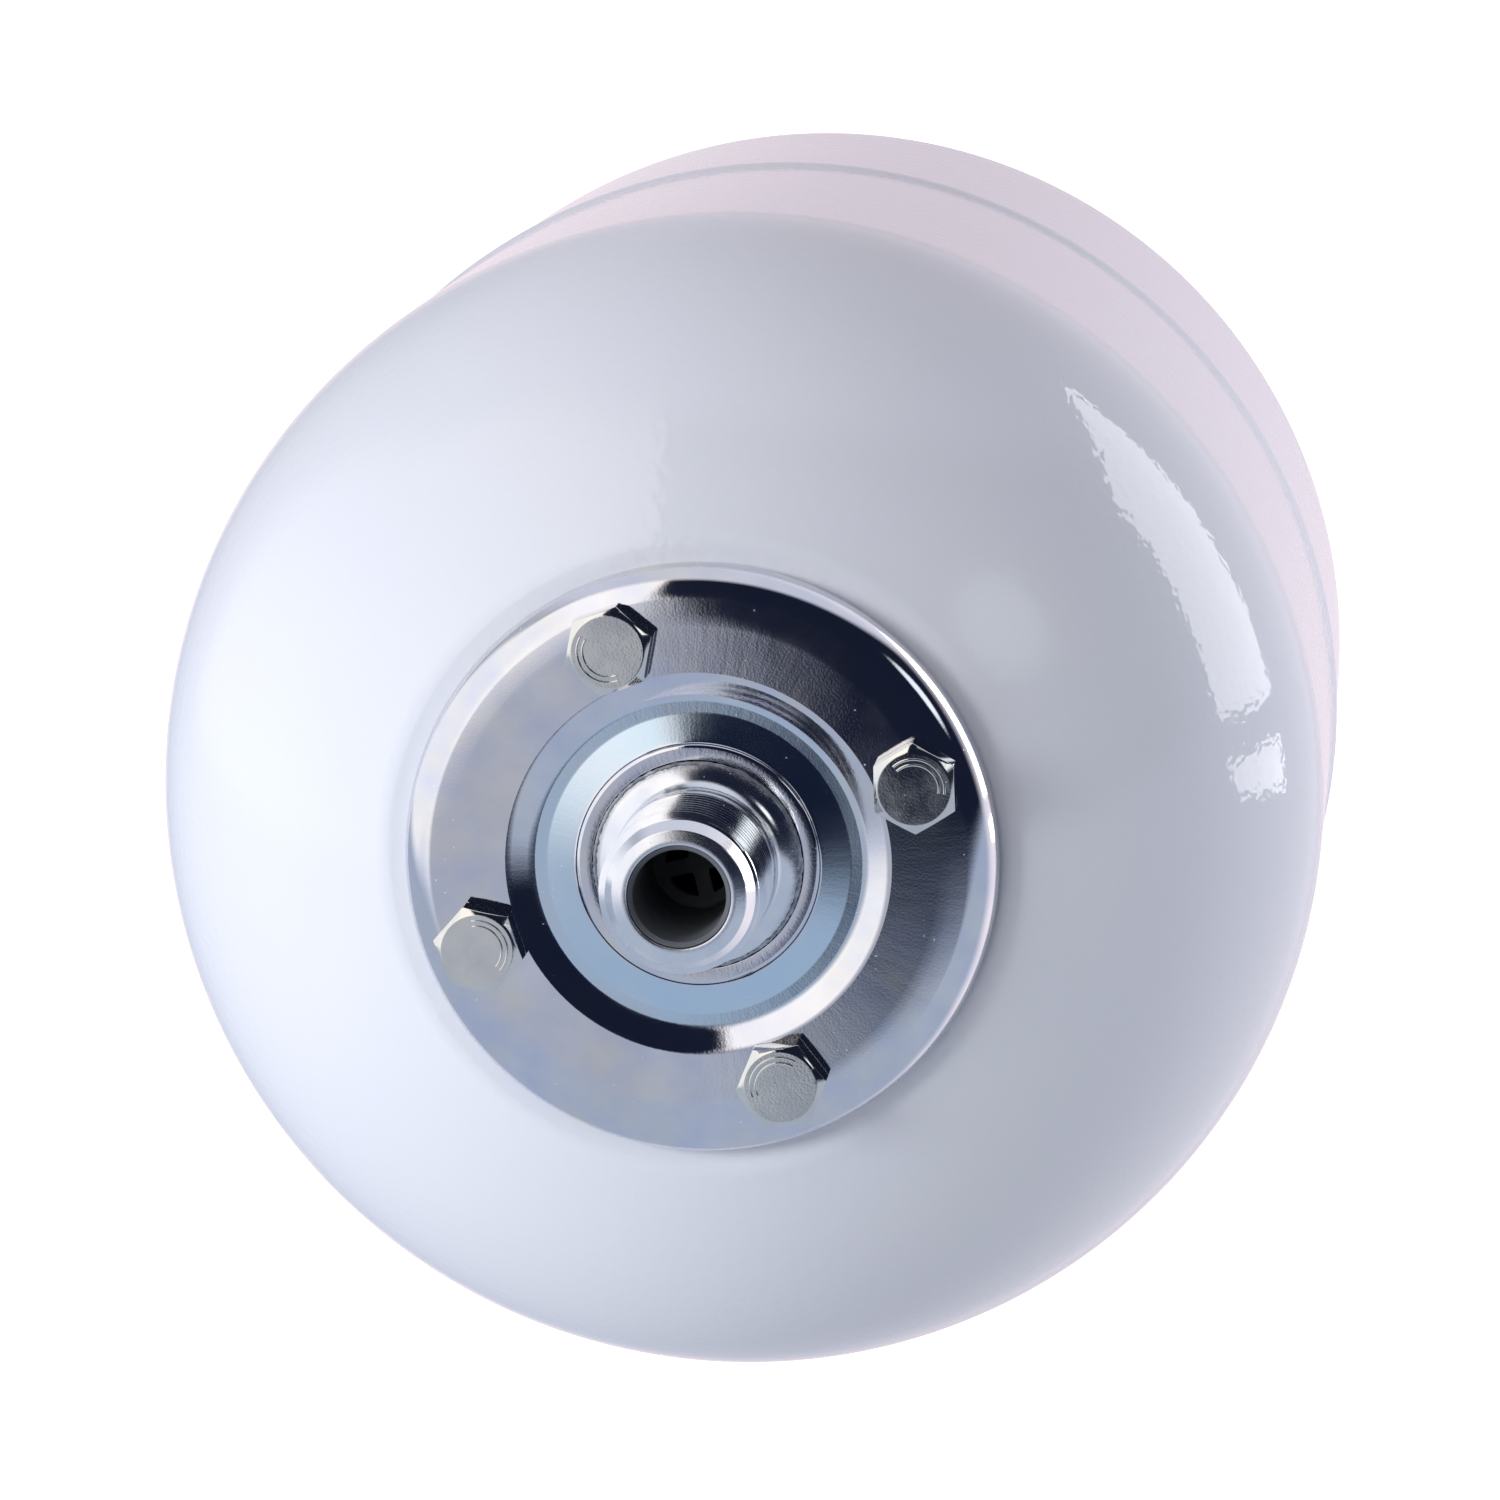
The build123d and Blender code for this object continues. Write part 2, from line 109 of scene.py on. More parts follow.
def stackRings(bm, ring, places):                # a place is a radius and height, or gives them at each turn
    for place in places:
        ring = nextRing(bm, ring, place if callable(place) else lambda turn, spot=place: spot)
    return ring


def hexRadius(size, turn):
    return size["flats"] / 2 / cos((turn % (pi / 3)) - pi / 6)


def hexWall(size, height):
    return lambda turn: (hexRadius(size, turn), height)


def hexCrown(size, height):                      # the hexagon's corners are cut back by a flat cone
    slope = tan(radians(size["slope"]))
    return lambda turn: (hexRadius(size, turn), height - (hexRadius(size, turn) - size["face"]) * slope)


def turnAbout(bm, angle, axis="Z"):
    bmesh.ops.rotate(bm, cent=origin, matrix=Matrix.Rotation(angle, 3, axis), verts=bm.verts)


def roundCorner(bm, vert, bend, segments=6):
    first, second = [e.other_vert(vert).co - vert.co for e in vert.link_edges]
    offset = bend * tan((pi - first.angle(second)) / 2)
    bmesh.ops.bevel(bm, geom=[vert], affect="VERTICES", offset=offset, segments=segments,
                    profile=0.5, material=-1)


def drawLine(bm, corners, closed=False, segments=6):
    verts = [bm.verts.new((corner[0], 0, corner[1])) for corner in corners]
    for a, b in zip(verts, verts[1:]):
        bm.edges.new((a, b))
    if closed:
        bm.edges.new((verts[-1], verts[0]))
    for vert, corner in zip(verts, corners):
        if len(corner) > 2:
            roundCorner(bm, vert, corner[2], segments)


def turnLine(bm, steps):
    bmesh.ops.spin(bm, geom=bm.verts[:] + bm.edges[:], cent=origin, axis=upAxis, dvec=origin,
                   angle=fullTurn, steps=steps, use_merge=True)
    bmesh.ops.remove_doubles(bm, verts=bm.verts, dist=mergeDistance)
    bmesh.ops.dissolve_degenerate(bm, edges=bm.edges, dist=mergeDistance)
    bmesh.ops.recalc_face_normals(bm, faces=bm.faces)


def addWall(bm, thickness, toward):              # the wall grows on the side away from toward
    outermost = max(bm.faces, key=lambda face: face.calc_center_median().dot(toward))
    if outermost.normal.dot(toward) < 0:
        bmesh.ops.reverse_faces(bm, faces=bm.faces)
    bmesh.ops.solidify(bm, geom=bm.faces[:], thickness=thickness)


def softenEdges(bm, width, angle=30, segments=2):
    sharp = [e for e in bm.edges if len(e.link_faces) == 2 and e.calc_face_angle() > radians(angle)]
    bmesh.ops.bevel(bm, geom=sharp, affect="EDGES", offset=width, segments=segments, profile=0.5,
                    material=-1)


def boundaryLoop(bm, z):
    return [e for e in bm.edges if e.is_boundary and all(abs(v.co.z - z) < loopReach for v in e.verts)]


def bridgeHeights(bm, pairs):                    # joins open rims at two heights
    for low, high in pairs:
        bmesh.ops.bridge_loops(bm, edges=boundaryLoop(bm, low) + boundaryLoop(bm, high))


def keepFlatsFlat(piece):                        # shading normals follow the larger faces
    change = piece.modifiers.new("flatFaces", "WEIGHTED_NORMAL")
    change.keep_sharp = True


# Gives a piece its mesh and material, puts it on its CAD body and hides the CAD nodes it stands for. Edges
# that turn by more than the sharp angle stay crisp.
def finishPiece(bm, name, material, body, nodes, sharp=32):
    mesh = inMetres(bm, name)
    mesh.shade_smooth()
    mesh.set_sharp_from_angle(angle=radians(sharp))
    mesh.materials.append(material)
    piece = addObject(name, mesh)
    keepFlatsFlat(piece)
    if body:
        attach(piece, body)
    if nodes:
        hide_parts(*nodes)
    return piece


def cutAway(piece, cutterMesh):
    cutter = addObject("cutter", cutterMesh)
    piece.modifiers.clear()
    change = piece.modifiers.new("holes", "BOOLEAN")
    change.operation = "DIFFERENCE"
    change.solver = "EXACT"
    change.object = cutter
    ready = piece.evaluated_get(bpy.context.evaluated_depsgraph_get())
    cut = bpy.data.meshes.new_from_object(ready)
    piece.modifiers.clear()
    piece.data = cut
    keepFlatsFlat(piece)
    bpy.data.objects.remove(cutter)


def nodeHigh(node):
    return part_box(node)[1][2] / mm


def nodeLow(node):
    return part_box(node)[0][2] / mm


# Node helpers

def feed(tree, node, values):                    # a socket is linked, and anything else is set
    for key, value in values.items():
        if isinstance(value, bpy.types.NodeSocket):
            tree.links.new(value, node.inputs[key])
        else:
            node.inputs[key].default_value = value


def addNode(tree, kind, values=None, **settings):
    node = tree.nodes.new(kind)
    for key, value in settings.items():
        setattr(node, key, value)
    feed(tree, node, values or {})
    return node


def newGroup(name, inputs, outputs):
    tree = bpy.data.node_groups.new(name, "ShaderNodeTree")
    for label, kind, value in inputs:
        socket = tree.interface.new_socket(label, in_out="INPUT", socket_type=kind)
        if value is not None:
            socket.default_value = value
    for label, kind in outputs:
        tree.interface.new_socket(label, in_out="OUTPUT", socket_type=kind)
    return tree, tree.nodes.new("NodeGroupInput").outputs, tree.nodes.new("NodeGroupOutput").inputs


def newMaterial(name, values):
    material = bpy.data.materials.new(name)
    material.use_nodes = True
    tree = material.node_tree
    shader = tree.nodes["Principled BSDF"]
    feed(tree, shader, values)
    place = addNode(tree, "ShaderNodeTexCoord").outputs["Object"]
    return material, tree, shader, place


def useGroup(tree, group, values):
    return addNode(tree, "ShaderNodeGroup", values, node_tree=group).outputs


def cloudMask(tree, place, size, **values):      # soft patches from 0 to 1
    return useGroup(tree, clouds, {"Vector": place, "Size": size, **values})["Mask"]


def mixColors(tree, factor, first, second):      # the colour sockets of the Mix node are 6, 7 and 2
    return addNode(tree, "ShaderNodeMix", {0: factor, 6: first, 7: second}, data_type="RGBA").outputs[2]


def remap(tree, value, low, high, toLow=0.0, toHigh=1.0, smooth=False):
    node = addNode(tree, "ShaderNodeMapRange",
                   {"Value": value, "From Min": low, "From Max": high, "To Min": toLow, "To Max": toHigh},
                   interpolation_type="SMOOTHSTEP" if smooth else "LINEAR")
    return node.outputs["Result"]


def calc(tree, operation, first, second=0.0):
    return addNode(tree, "ShaderNodeMath", {0: first, 1: second}, operation=operation).outputs[0]


def vectorCalc(tree, operation, values):
    return addNode(tree, "ShaderNodeVectorMath", values, operation=operation).outputs


def addScaled(tree, base, extra, share):         # base + extra * share
    return calc(tree, "ADD", base, calc(tree, "MULTIPLY", extra, share))


def addBump(tree, shader, height, distance):
    node = addNode(tree, "ShaderNodeBump", {"Height": height, "Distance": distance, "Strength": 1.0})
    tree.links.new(node.outputs["Normal"], shader.inputs["Normal"])


def awayFromAxis(tree, vector):                  # the height, the flat part and its length
    part = addNode(tree, "ShaderNodeSeparateXYZ", {"Vector": vector}).outputs
    flat = addNode(tree, "ShaderNodeCombineXYZ", {"X": part["X"], "Y": part["Y"]}).outputs[0]
    return part["Z"], flat, vectorCalc(tree, "LENGTH", {0: flat})["Value"]


# Shared effects: groups that put out masks and heights only

def makeClouds():
    tree, given, result = newGroup(
        "clouds",
        [("Vector", "NodeSocketVector", None), ("Size", "NodeSocketFloat", 0.01),
         ("Detail", "NodeSocketFloat", 3.0), ("Contrast", "NodeSocketFloat", 0.2)],
        [("Mask", "NodeSocketFloat")])
    scale = calc(tree, "DIVIDE", 1.0, given["Size"])
    pattern = addNode(tree, "ShaderNodeTexNoise",
                      {"Vector": given["Vector"], "Scale": scale, "Detail": given["Detail"]})
    low = addScaled(tree, 0.5, given["Contrast"], -1.0)
    high = calc(tree, "ADD", 0.5, given["Contrast"])
    tree.links.new(remap(tree, pattern.outputs["Fac"], low, high), result["Mask"])
    return tree


def makeSpecks():
    tree, given, result = newGroup(
        "specks",
        [("Vector", "NodeSocketVector", None), ("Spacing", "NodeSocketFloat", 0.002),
         ("Share", "NodeSocketFloat", 0.1)],
        [("Mask", "NodeSocketFloat")])
    scale = calc(tree, "DIVIDE", 1.0, given["Spacing"])
    cells = addNode(tree, "ShaderNodeTexVoronoi", {"Vector": given["Vector"], "Scale": scale})
    dot = remap(tree, cells.outputs["Distance"], 0.14, 0.05)       # the speck's outer and inner edge
    picked = addNode(tree, "ShaderNodeSeparateColor", {"Color": cells.outputs["Color"]}).outputs["Red"]
    chosen = calc(tree, "LESS_THAN", picked, given["Share"])
    tree.links.new(calc(tree, "MULTIPLY", dot, chosen), result["Mask"])
    return tree


def makeTurning():                               # fine rings left by a lathe, round the Z axis
    tree, given, result = newGroup(
        "turning", [("Vector", "NodeSocketVector", None), ("Pitch", "NodeSocketFloat", 0.0002)],
        [("Height", "NodeSocketFloat")])
    high, flat, radius = awayFromAxis(tree, given["Vector"])
    line = addNode(tree, "ShaderNodeCombineXYZ", {"X": radius, "Y": high})
    scale = calc(tree, "DIVIDE", 1.0, given["Pitch"])
    pattern = addNode(tree, "ShaderNodeTexNoise", {"Vector": line.outputs[0], "Scale": scale, "Detail": 2.0})
    tree.links.new(pattern.outputs["Fac"], result["Height"])
    return tree


def makeDrawing():                               # streaks along the radius, as a press leaves them
    tree, given, result = newGroup(
        "drawing",
        [("Vector", "NodeSocketVector", None), ("Streaks", "NodeSocketFloat", 30.0),
         ("Breaks", "NodeSocketFloat", 120.0)],
        [("Height", "NodeSocketFloat"), ("Radius", "NodeSocketFloat")])
    high, flat, radius = awayFromAxis(tree, given["Vector"])
    around = vectorCalc(tree, "NORMALIZE", {0: flat})[0]
    spread = vectorCalc(tree, "SCALE", {0: around, "Scale": given["Streaks"]})[0]
    lift = addNode(tree, "ShaderNodeCombineXYZ", {"Z": calc(tree, "MULTIPLY", radius, given["Breaks"])})
    total = vectorCalc(tree, "ADD", {0: spread, 1: lift.outputs[0]})[0]
    pattern = addNode(tree, "ShaderNodeTexNoise", {"Vector": total, "Scale": 1.0, "Detail": 3.0})
    tree.links.new(pattern.outputs["Fac"], result["Height"])
    tree.links.new(radius, result["Radius"])
    return tree


clouds = makeClouds()
specks = makeSpecks()
turning = makeTurning()
drawing = makeDrawing()
print("shared effects made")


# Enamel on the tank

enamelLook = {
    "paint": (0.80, 0.82, 0.875, 1), "tint": (0.77, 0.795, 0.87, 1), "tintSize": 0.09,
    "smoothest": 0.028, "roughest": 0.0455, "hazeSize": 0.03,
    "peelSize": 0.0019, "peelHeight": 0.00005, "ior": 1.5,
}


def makeEnamel(look):
    material, tree, shader, place = newMaterial("tankEnamel", {"IOR": look["ior"]})
    tone = cloudMask(tree, place, look["tintSize"])
    haze = cloudMask(tree, place, look["hazeSize"], Detail=4.0)
    feed(tree, shader, {"Base Color": mixColors(tree, tone, look["paint"], look["tint"]),
                        "Roughness": remap(tree, haze, 0, 1, look["smoothest"], look["roughest"])})
    peel = cloudMask(tree, place, look["peelSize"], Detail=1.2, Contrast=0.45)
    addBump(tree, shader, peel, look["peelHeight"])
    return material


# Bright zinc on the flange, the nipple and the screws

plateZinc = {
    "name": "plateZinc", "silver": (0.80, 0.80, 0.83, 1), "blue": (0.60, 0.75, 0.86, 1),
    "straw": (0.79, 0.75, 0.67, 1), "lilac": (0.66, 0.68, 0.78, 1), "speck": (0.95, 0.96, 0.98, 1),
    "roughness": 0.04, "channelRoughness": 0.085, "smoother": -0.015, "rougher": 0.04, "speckRoughness": 0.3,
    "blueFrom": 0.0203, "blueTo": 0.0272, "blueFade": 0.0005, "tintSize": 0.014, "shadeSize": 0.0084,
    "streaks": 26.0, "streakHeight": 0.000008, "streakShare": 0.35, "rippleSize": 0.009,
    "grainSize": 0.0004, "grainHeight": 0.000003, "speckSpacing": 0.0016, "speckShare": 0.12,
}


def speckMask(tree, place, look):
    return useGroup(tree, specks, {"Vector": place, "Spacing": look["speckSpacing"],
                                   "Share": look["speckShare"]})["Mask"]


def makePlateZinc(look):
    material, tree, shader, place = newMaterial(look["name"], {"Metallic": 1.0})
    draw = useGroup(tree, drawing, {"Vector": place, "Streaks": look["streaks"]})
    radius, fade = draw["Radius"], look["blueFade"]
    inside = remap(tree, radius, look["blueTo"] + fade, look["blueTo"] - fade)
    outside = remap(tree, radius, look["blueFrom"] - fade, look["blueFrom"] + fade)
    inChannel = calc(tree, "MULTIPLY", inside, outside)
    tone = cloudMask(tree, place, look["tintSize"])
    shade = cloudMask(tree, place, look["shadeSize"], Detail=5.0)
    silver = mixColors(tree, shade, mixColors(tree, tone, look["silver"], look["straw"]), look["lilac"])
    blue = mixColors(tree, calc(tree, "MULTIPLY", tone, 0.5), look["blue"], look["silver"])
    white = speckMask(tree, place, look)
    even = remap(tree, inChannel, 0, 1, look["roughness"], look["channelRoughness"])
    uneven = remap(tree, tone, 0, 1, look["smoother"], look["rougher"])
    feed(tree, shader, {
        "Base Color": mixColors(tree, white, mixColors(tree, inChannel, silver, blue), look["speck"]),
        "Roughness": addScaled(tree, calc(tree, "ADD", even, uneven), white, look["speckRoughness"]),
    })
    ripple = cloudMask(tree, place, look["rippleSize"], Detail=1.0, Contrast=0.5)
    grain = cloudMask(tree, place, look["grainSize"], Contrast=0.5)
    waves = addScaled(tree, ripple, draw["Height"], look["streakShare"])
    height = addScaled(tree, waves, grain, look["grainHeight"] / look["streakHeight"])
    addBump(tree, shader, height, look["streakHeight"])
    return material


nippleZinc = {
    "name": "nippleZinc", "silver": (0.84, 0.84, 0.85, 1), "blue": (0.73, 0.75, 0.80, 1),
    "speck": (0.93, 0.94, 0.95, 1), "tintSize": 0.006, "speckSpacing": 0.0011, "speckShare": 0.2,
    "smoothest": 0.09, "roughest": 0.20, "speckRoughness": 0.3, "pitch": 0.00028, "ringHeight": 0.000005,
    "grainSize": 0.0005, "grainHeight": 0.000008, "matteAbove": 0.01952, "matteExtra": 0.06,
}
screwZinc = {
    "name": "screwZinc", "silver": (0.82, 0.79, 0.72, 1), "blue": (0.70, 0.70, 0.68, 1),
    "speck": (0.93, 0.94, 0.95, 1), "tintSize": 0.006, "speckSpacing": 0.0011, "speckShare": 0.22,
    "smoothest": 0.03, "roughest": 0.14, "speckRoughness": 0.3, "pitch": 0.0016, "ringHeight": 0.000004,
    "grainSize": 0.0004, "grainHeight": 0.000006, "matteAbove": 1.0, "matteExtra": 0.23,
}


def makeTurnedZinc(look):
    material, tree, shader, place = newMaterial(look["name"], {"Metallic": 1.0})
    tone = cloudMask(tree, place, look["tintSize"])
    base = mixColors(tree, tone, look["silver"], look["blue"])
    white = speckMask(tree, place, look)
    rough = addScaled(tree, remap(tree, tone, 0, 1, look["smoothest"], look["roughest"]), white,
                      look["speckRoughness"])
    high = addNode(tree, "ShaderNodeSeparateXYZ", {"Vector": place}).outputs["Z"]
    matte = calc(tree, "GREATER_THAN", high, look["matteAbove"])       # the turned face at the tip
    feed(tree, shader, {"Base Color": mixColors(tree, white, base, look["speck"]),
                        "Roughness": addScaled(tree, rough, matte, look["matteExtra"])})
    rings = useGroup(tree, turning, {"Vector": place, "Pitch": look["pitch"]})["Height"]
    grain = cloudMask(tree, place, look["grainSize"], Contrast=0.5)
    height = addScaled(tree, grain, rings, look["ringHeight"] / look["grainHeight"])
    addBump(tree, shader, height, look["grainHeight"])
    return material


# Plain metals, rubber and plastics

plainLooks = {                  # colour, tint, roughness, metallic, size of tint, size and height of grain
    "weldGrey": ((0.5, 0.52, 0.55, 1), (0.25, 0.26, 0.3, 1), 0.4, 1.0, 0.002, 0.0004, 0.00006),
    "bareSteel": ((0.42, 0.42, 0.43, 1), (0.3, 0.29, 0.28, 1), 0.38, 1.0, 0.008, 0.0006, 0.00001),
    "springSteel": ((0.6, 0.6, 0.61, 1), (0.48, 0.48, 0.5, 1), 0.25, 1.0, 0.002, 0.0003, 0.000003),
    "yellowBrass": ((0.79, 0.60, 0.27, 1), (0.66, 0.47, 0.2, 1), 0.27, 1.0, 0.004, 0.0004, 0.000005),
    "bagRubber": ((0.022, 0.022, 0.023, 1), (0.035, 0.034, 0.033, 1), 0.75, 0.0, 0.02, 0.0012, 0.00006),
    "sealRubber": ((0.018, 0.018, 0.019, 1), (0.03, 0.03, 0.03, 1), 0.6, 0.0, 0.003, 0.0004, 0.00001),
    "sleevePlastic": ((0.13, 0.14, 0.155, 1), (0.11, 0.12, 0.135, 1), 0.5, 0.0, 0.006, 0.0007, 0.00001),
    "capPlastic": ((0.020, 0.020, 0.022, 1), (0.030, 0.030, 0.032, 1), 0.42, 0.0, 0.006, 0.0005, 0.00001),
    "coverPlastic": ((0.022, 0.022, 0.025, 1), (0.03, 0.03, 0.034, 1), 0.36, 0.0, 0.01, 0.0007, 0.00002),
}
roughnessSpread = (0.85, 1.2)   # shares of the roughness, where the tint is weakest and strongest


def makePlain(name, first, second, roughness, metallic, tintSize, grainSize, grainHeight):
    material, tree, shader, place = newMaterial(name, {"Metallic": metallic})
    tone = cloudMask(tree, place, tintSize)
    low, high = [roughness * share for share in roughnessSpread]
    feed(tree, shader, {"Base Color": mixColors(tree, tone, first, second),
                        "Roughness": remap(tree, tone, 0, 1, low, high)})
    addBump(tree, shader, cloudMask(tree, place, grainSize, Contrast=0.4), grainHeight)
    return material


tankEnamel = makeEnamel(enamelLook)
flangeZinc = makePlateZinc(plateZinc)
turnedZinc = makeTurnedZinc(nippleZinc)
headZinc = makeTurnedZinc(screwZinc)
plain = {name: makePlain(name, *look) for name, look in plainLooks.items()}
print("materials made")


# Tank halves

tank = {
    "radius": 100.0, "sheet": 1.0, "domeDepth": 71.5, "skirtTop": -74.698, "skirtEnd": -234.698,
    "seam": -162.698, "opening": 31.5, "rearHole": 9.0, "seatBlend": 6.0, "coverGap": 0.3, "steps": 256,
    "domeSteps": 72,
}


def makeHalf(size, side, tangentZ, flatZ, holeRadius):       # side is 1 for the front and -1 for the rear
    bm = bmesh.new()
    edge = bm.verts.new((size["radius"], 0, 0))
    turn = asin(abs(flatZ - tangentZ) / size["domeDepth"])
    arc = bmesh.ops.spin(bm, geom=[edge], cent=origin, axis=(0, 1, 0), dvec=origin,
                         angle=-side * turn, steps=size["domeSteps"], use_merge=False)
    crown = arc["geom_last"][0]
    bmesh.ops.scale(bm, vec=(1, 1, size["domeDepth"] / size["radius"]), verts=bm.verts)
    bmesh.ops.translate(bm, vec=(0, 0, tangentZ), verts=bm.verts)
    bm.edges.new((edge, bm.verts.new((size["radius"], 0, size["seam"]))))
    bm.edges.new((crown, bm.verts.new((holeRadius, 0, flatZ))))
    roundCorner(bm, crown, size["seatBlend"])
    turnLine(bm, size["steps"])
    addWall(bm, size["sheet"], Vector((1, 0, 0)))
    return bm


seatZ = nodeLow("flange_plate")
valveFlatZ = nodeHigh("valve_cover") + tank["coverGap"]
frontShell = finishPiece(makeHalf(tank, 1, tank["skirtTop"], seatZ, tank["opening"]),
                         "frontShell", tankEnamel, "vessel", ["front_shell"])
finishPiece(makeHalf(tank, -1, tank["skirtEnd"], valveFlatZ, tank["rearHole"]),
            "rearShell", tankEnamel, "vessel", ["rear_shell"])

weld = {"width": 9.0, "height": 0.7, "groove": 0.55, "sunk": 0.02, "points": 16, "steps": 256}


def makeWeld(size, tankSize):
    bm = bmesh.new()
    r, z, half = tankSize["radius"], tankSize["seam"], size["width"] / 2
    arch = []
    for count in range(size["points"] + 1):      # the bead swells evenly out of the wall
        across = 2 * count / size["points"] - 1
        swell = (size["height"] + size["sunk"]) * cos(across * pi / 2) ** 2
        arch.append((r - size["sunk"] + swell, z + across * half))
    drawLine(bm, arch + [(r - size["groove"], z)], closed=True)
    turnLine(bm, size["steps"])
    return bm


finishPiece(makeWeld(weld, tank), "girthWeld", tankEnamel, "vessel", ["girth_weld"], 40)
print("tank made")


# Flange plate: the top skin is turned, gets the sheet's thickness and then the screw holes

flange = {
    "thickness": 2.75, "rim": 48.8, "rimRound": 5.2, "top": -7.2, "slope": 2.0, "flatPastScrews": 2.0,
    "slopeRound": 60.0, "channelTop": 31.1, "channelTopRound": 5.0, "channelFloor": 27.4,
    "channelFloorRound": 6.0, "floor": -8.05, "floorBreak": 24.9, "floorBreakRound": 4.0, "floorRise": 0.45,
    "collar": 20.0, "collarFoot": 0.3, "collarTop": -7.1, "collarRound": 0.75, "collarSteps": 6,
    "screwCircle": 38.2, "firstScrew": 21.0, "screws": 4, "screwHole": 4.5, "holeSegments": 48, "steps": 240,
    "cutEdge": 0.18, "cutAngle": 60, "plateCut": (-14.5, -4.0), "seatCut": (-16.0, -12.0),
}


def screwPlace(size, number, z):
    turn = radians(size["firstScrew"] + 360 / size["screws"] * number)
    return Vector((size["screwCircle"] * cos(turn), size["screwCircle"] * sin(turn), z))


def holeCutter(size, heights):
    bm = bmesh.new()
    low, high = heights
    for number in range(size["screws"]):
        place = Matrix.Translation(screwPlace(size, number, (low + high) / 2))
        bmesh.ops.create_cone(bm, cap_ends=True, segments=size["holeSegments"], radius1=size["screwHole"],
                              radius2=size["screwHole"], depth=high - low, matrix=place)
    return inMetres(bm, "holeCutter")


def makeFlange(size, rimZ):
    bm = bmesh.new()
    level = size["screwCircle"] + size["flatPastScrews"]       # from there it falls a little to the rim
    rimTop = size["top"] - (size["rim"] - level) * tan(radians(size["slope"]))
    drawLine(bm, [
        (size["rim"], rimZ),
        (size["rim"], rimTop, size["rimRound"]),
        (level, size["top"], size["slopeRound"]),
        (size["channelTop"], size["top"], size["channelTopRound"]),
        (size["channelFloor"], size["floor"], size["channelFloorRound"]),
        (size["floorBreak"], size["floor"], size["floorBreakRound"]),
        (size["collar"], size["floor"] + size["floorRise"], size["collarFoot"]),
        (size["collar"], size["collarTop"]),
    ], segments=10)
    turnLine(bm, size["steps"])
    addWall(bm, size["thickness"], upAxis)

    def onLip(vert):
        return (abs(vert.co.z - size["collarTop"]) < loopReach
                and abs(hypot(vert.co.x, vert.co.y) - size["collar"]) < loopReach)

    bmesh.ops.bevel(bm, geom=[e for e in bm.edges if all(onLip(v) for v in e.verts)], affect="EDGES",
                    offset=size["collarRound"], segments=size["collarSteps"], profile=0.5, material=-1)
    softenEdges(bm, size["cutEdge"], size["cutAngle"])
    return bm


flangePlate = finishPiece(makeFlange(flange, seatZ), "flangePlate", flangeZinc, "vessel",
                          ["flange_plate"])
cutAway(flangePlate, holeCutter(flange, flange["plateCut"]))
cutAway(frontShell, holeCutter(flange, flange["seatCut"]))
print("flange made")


# Nipple: a turned body joined to a real helical thread

nipple = {
    "pitch": 1.8143, "crestSharp": 13.51, "rootSharp": 11.768, "threadRound": 0.249, "crest": 13.22,
    "root": 12.058, "threadLow": -1.2, "lowJoin": 0.1, "threadHigh": 17.3, "highJoin": 0.12, "threadTop": 16.6,
    "runOutFrom": 1.0, "runOutSlope": 0.5, "lead": 12.1, "leadHeight": 17.55, "leadRound": 0.3, "tip": 20.0,
    "face": 8.9, "faceRound": 2.0, "faceEdge": 10.75, "faceEdgeRound": 0.4, "faceDrop": 0.42, "boreDrop": 0.1,
    "bore": 8.35, "boreRound": 0.2, "neck": 12.4, "sweepSpare": 0.05, "base": 16.6, "baseStep": 0.35,
    "baseRound": 0.12, "collarTop": -7.1, "tail": -12.5, "steps": 120, "turns": 13,
}


def makeThread(size, low, high, limit):          # limit gives the radius that a point may have at its height
    bm = bmesh.new()
    pitch, mid = size["pitch"], (size["crestSharp"] + size["rootSharp"]) / 2
    drawLine(bm, [(mid, 0), (size["crestSharp"], pitch / 4, size["threadRound"]),
                  (size["rootSharp"], pitch * 3 / 4, size["threadRound"]), (mid, pitch)], segments=4)
    bmesh.ops.translate(bm, vec=(0, 0, low - 2 * pitch), verts=bm.verts)       # starts two turns too low
    bmesh.ops.spin(bm, geom=bm.verts[:] + bm.edges[:], cent=origin, axis=upAxis,
                   dvec=(0, 0, pitch / size["steps"]), angle=fullTurn * size["turns"],
                   steps=size["steps"] * size["turns"], use_merge=False)
    bmesh.ops.remove_doubles(bm, verts=bm.verts, dist=mergeDistance)
    for vert in bm.verts:
        radius = hypot(vert.co.x, vert.co.y)
        share = limit(radius, vert.co.z) / radius
        vert.co.x *= share
        vert.co.y *= share
    for z, below in ((low, True), (high, False)):
        bmesh.ops.bisect_plane(bm, geom=wholeShape(bm), plane_co=(0, 0, z), plane_no=upAxis, clear_inner=below,
                               clear_outer=not below)
    return bm


def nippleLimit(radius, z):                      # chamfered start at the top, run-out into the neck below
    neck, crest, root = nipple["neck"], nipple["crest"], nipple["root"]
    start = root + max(0, nipple["threadTop"] + crest - root - z)
    runOut = neck - max(0, (z - nipple["runOutFrom"]) * nipple["runOutSlope"])
    crestEnd = neck + max(0, z + crest - neck)
    return min(max(min(radius, crest, start), runOut), crestEnd)


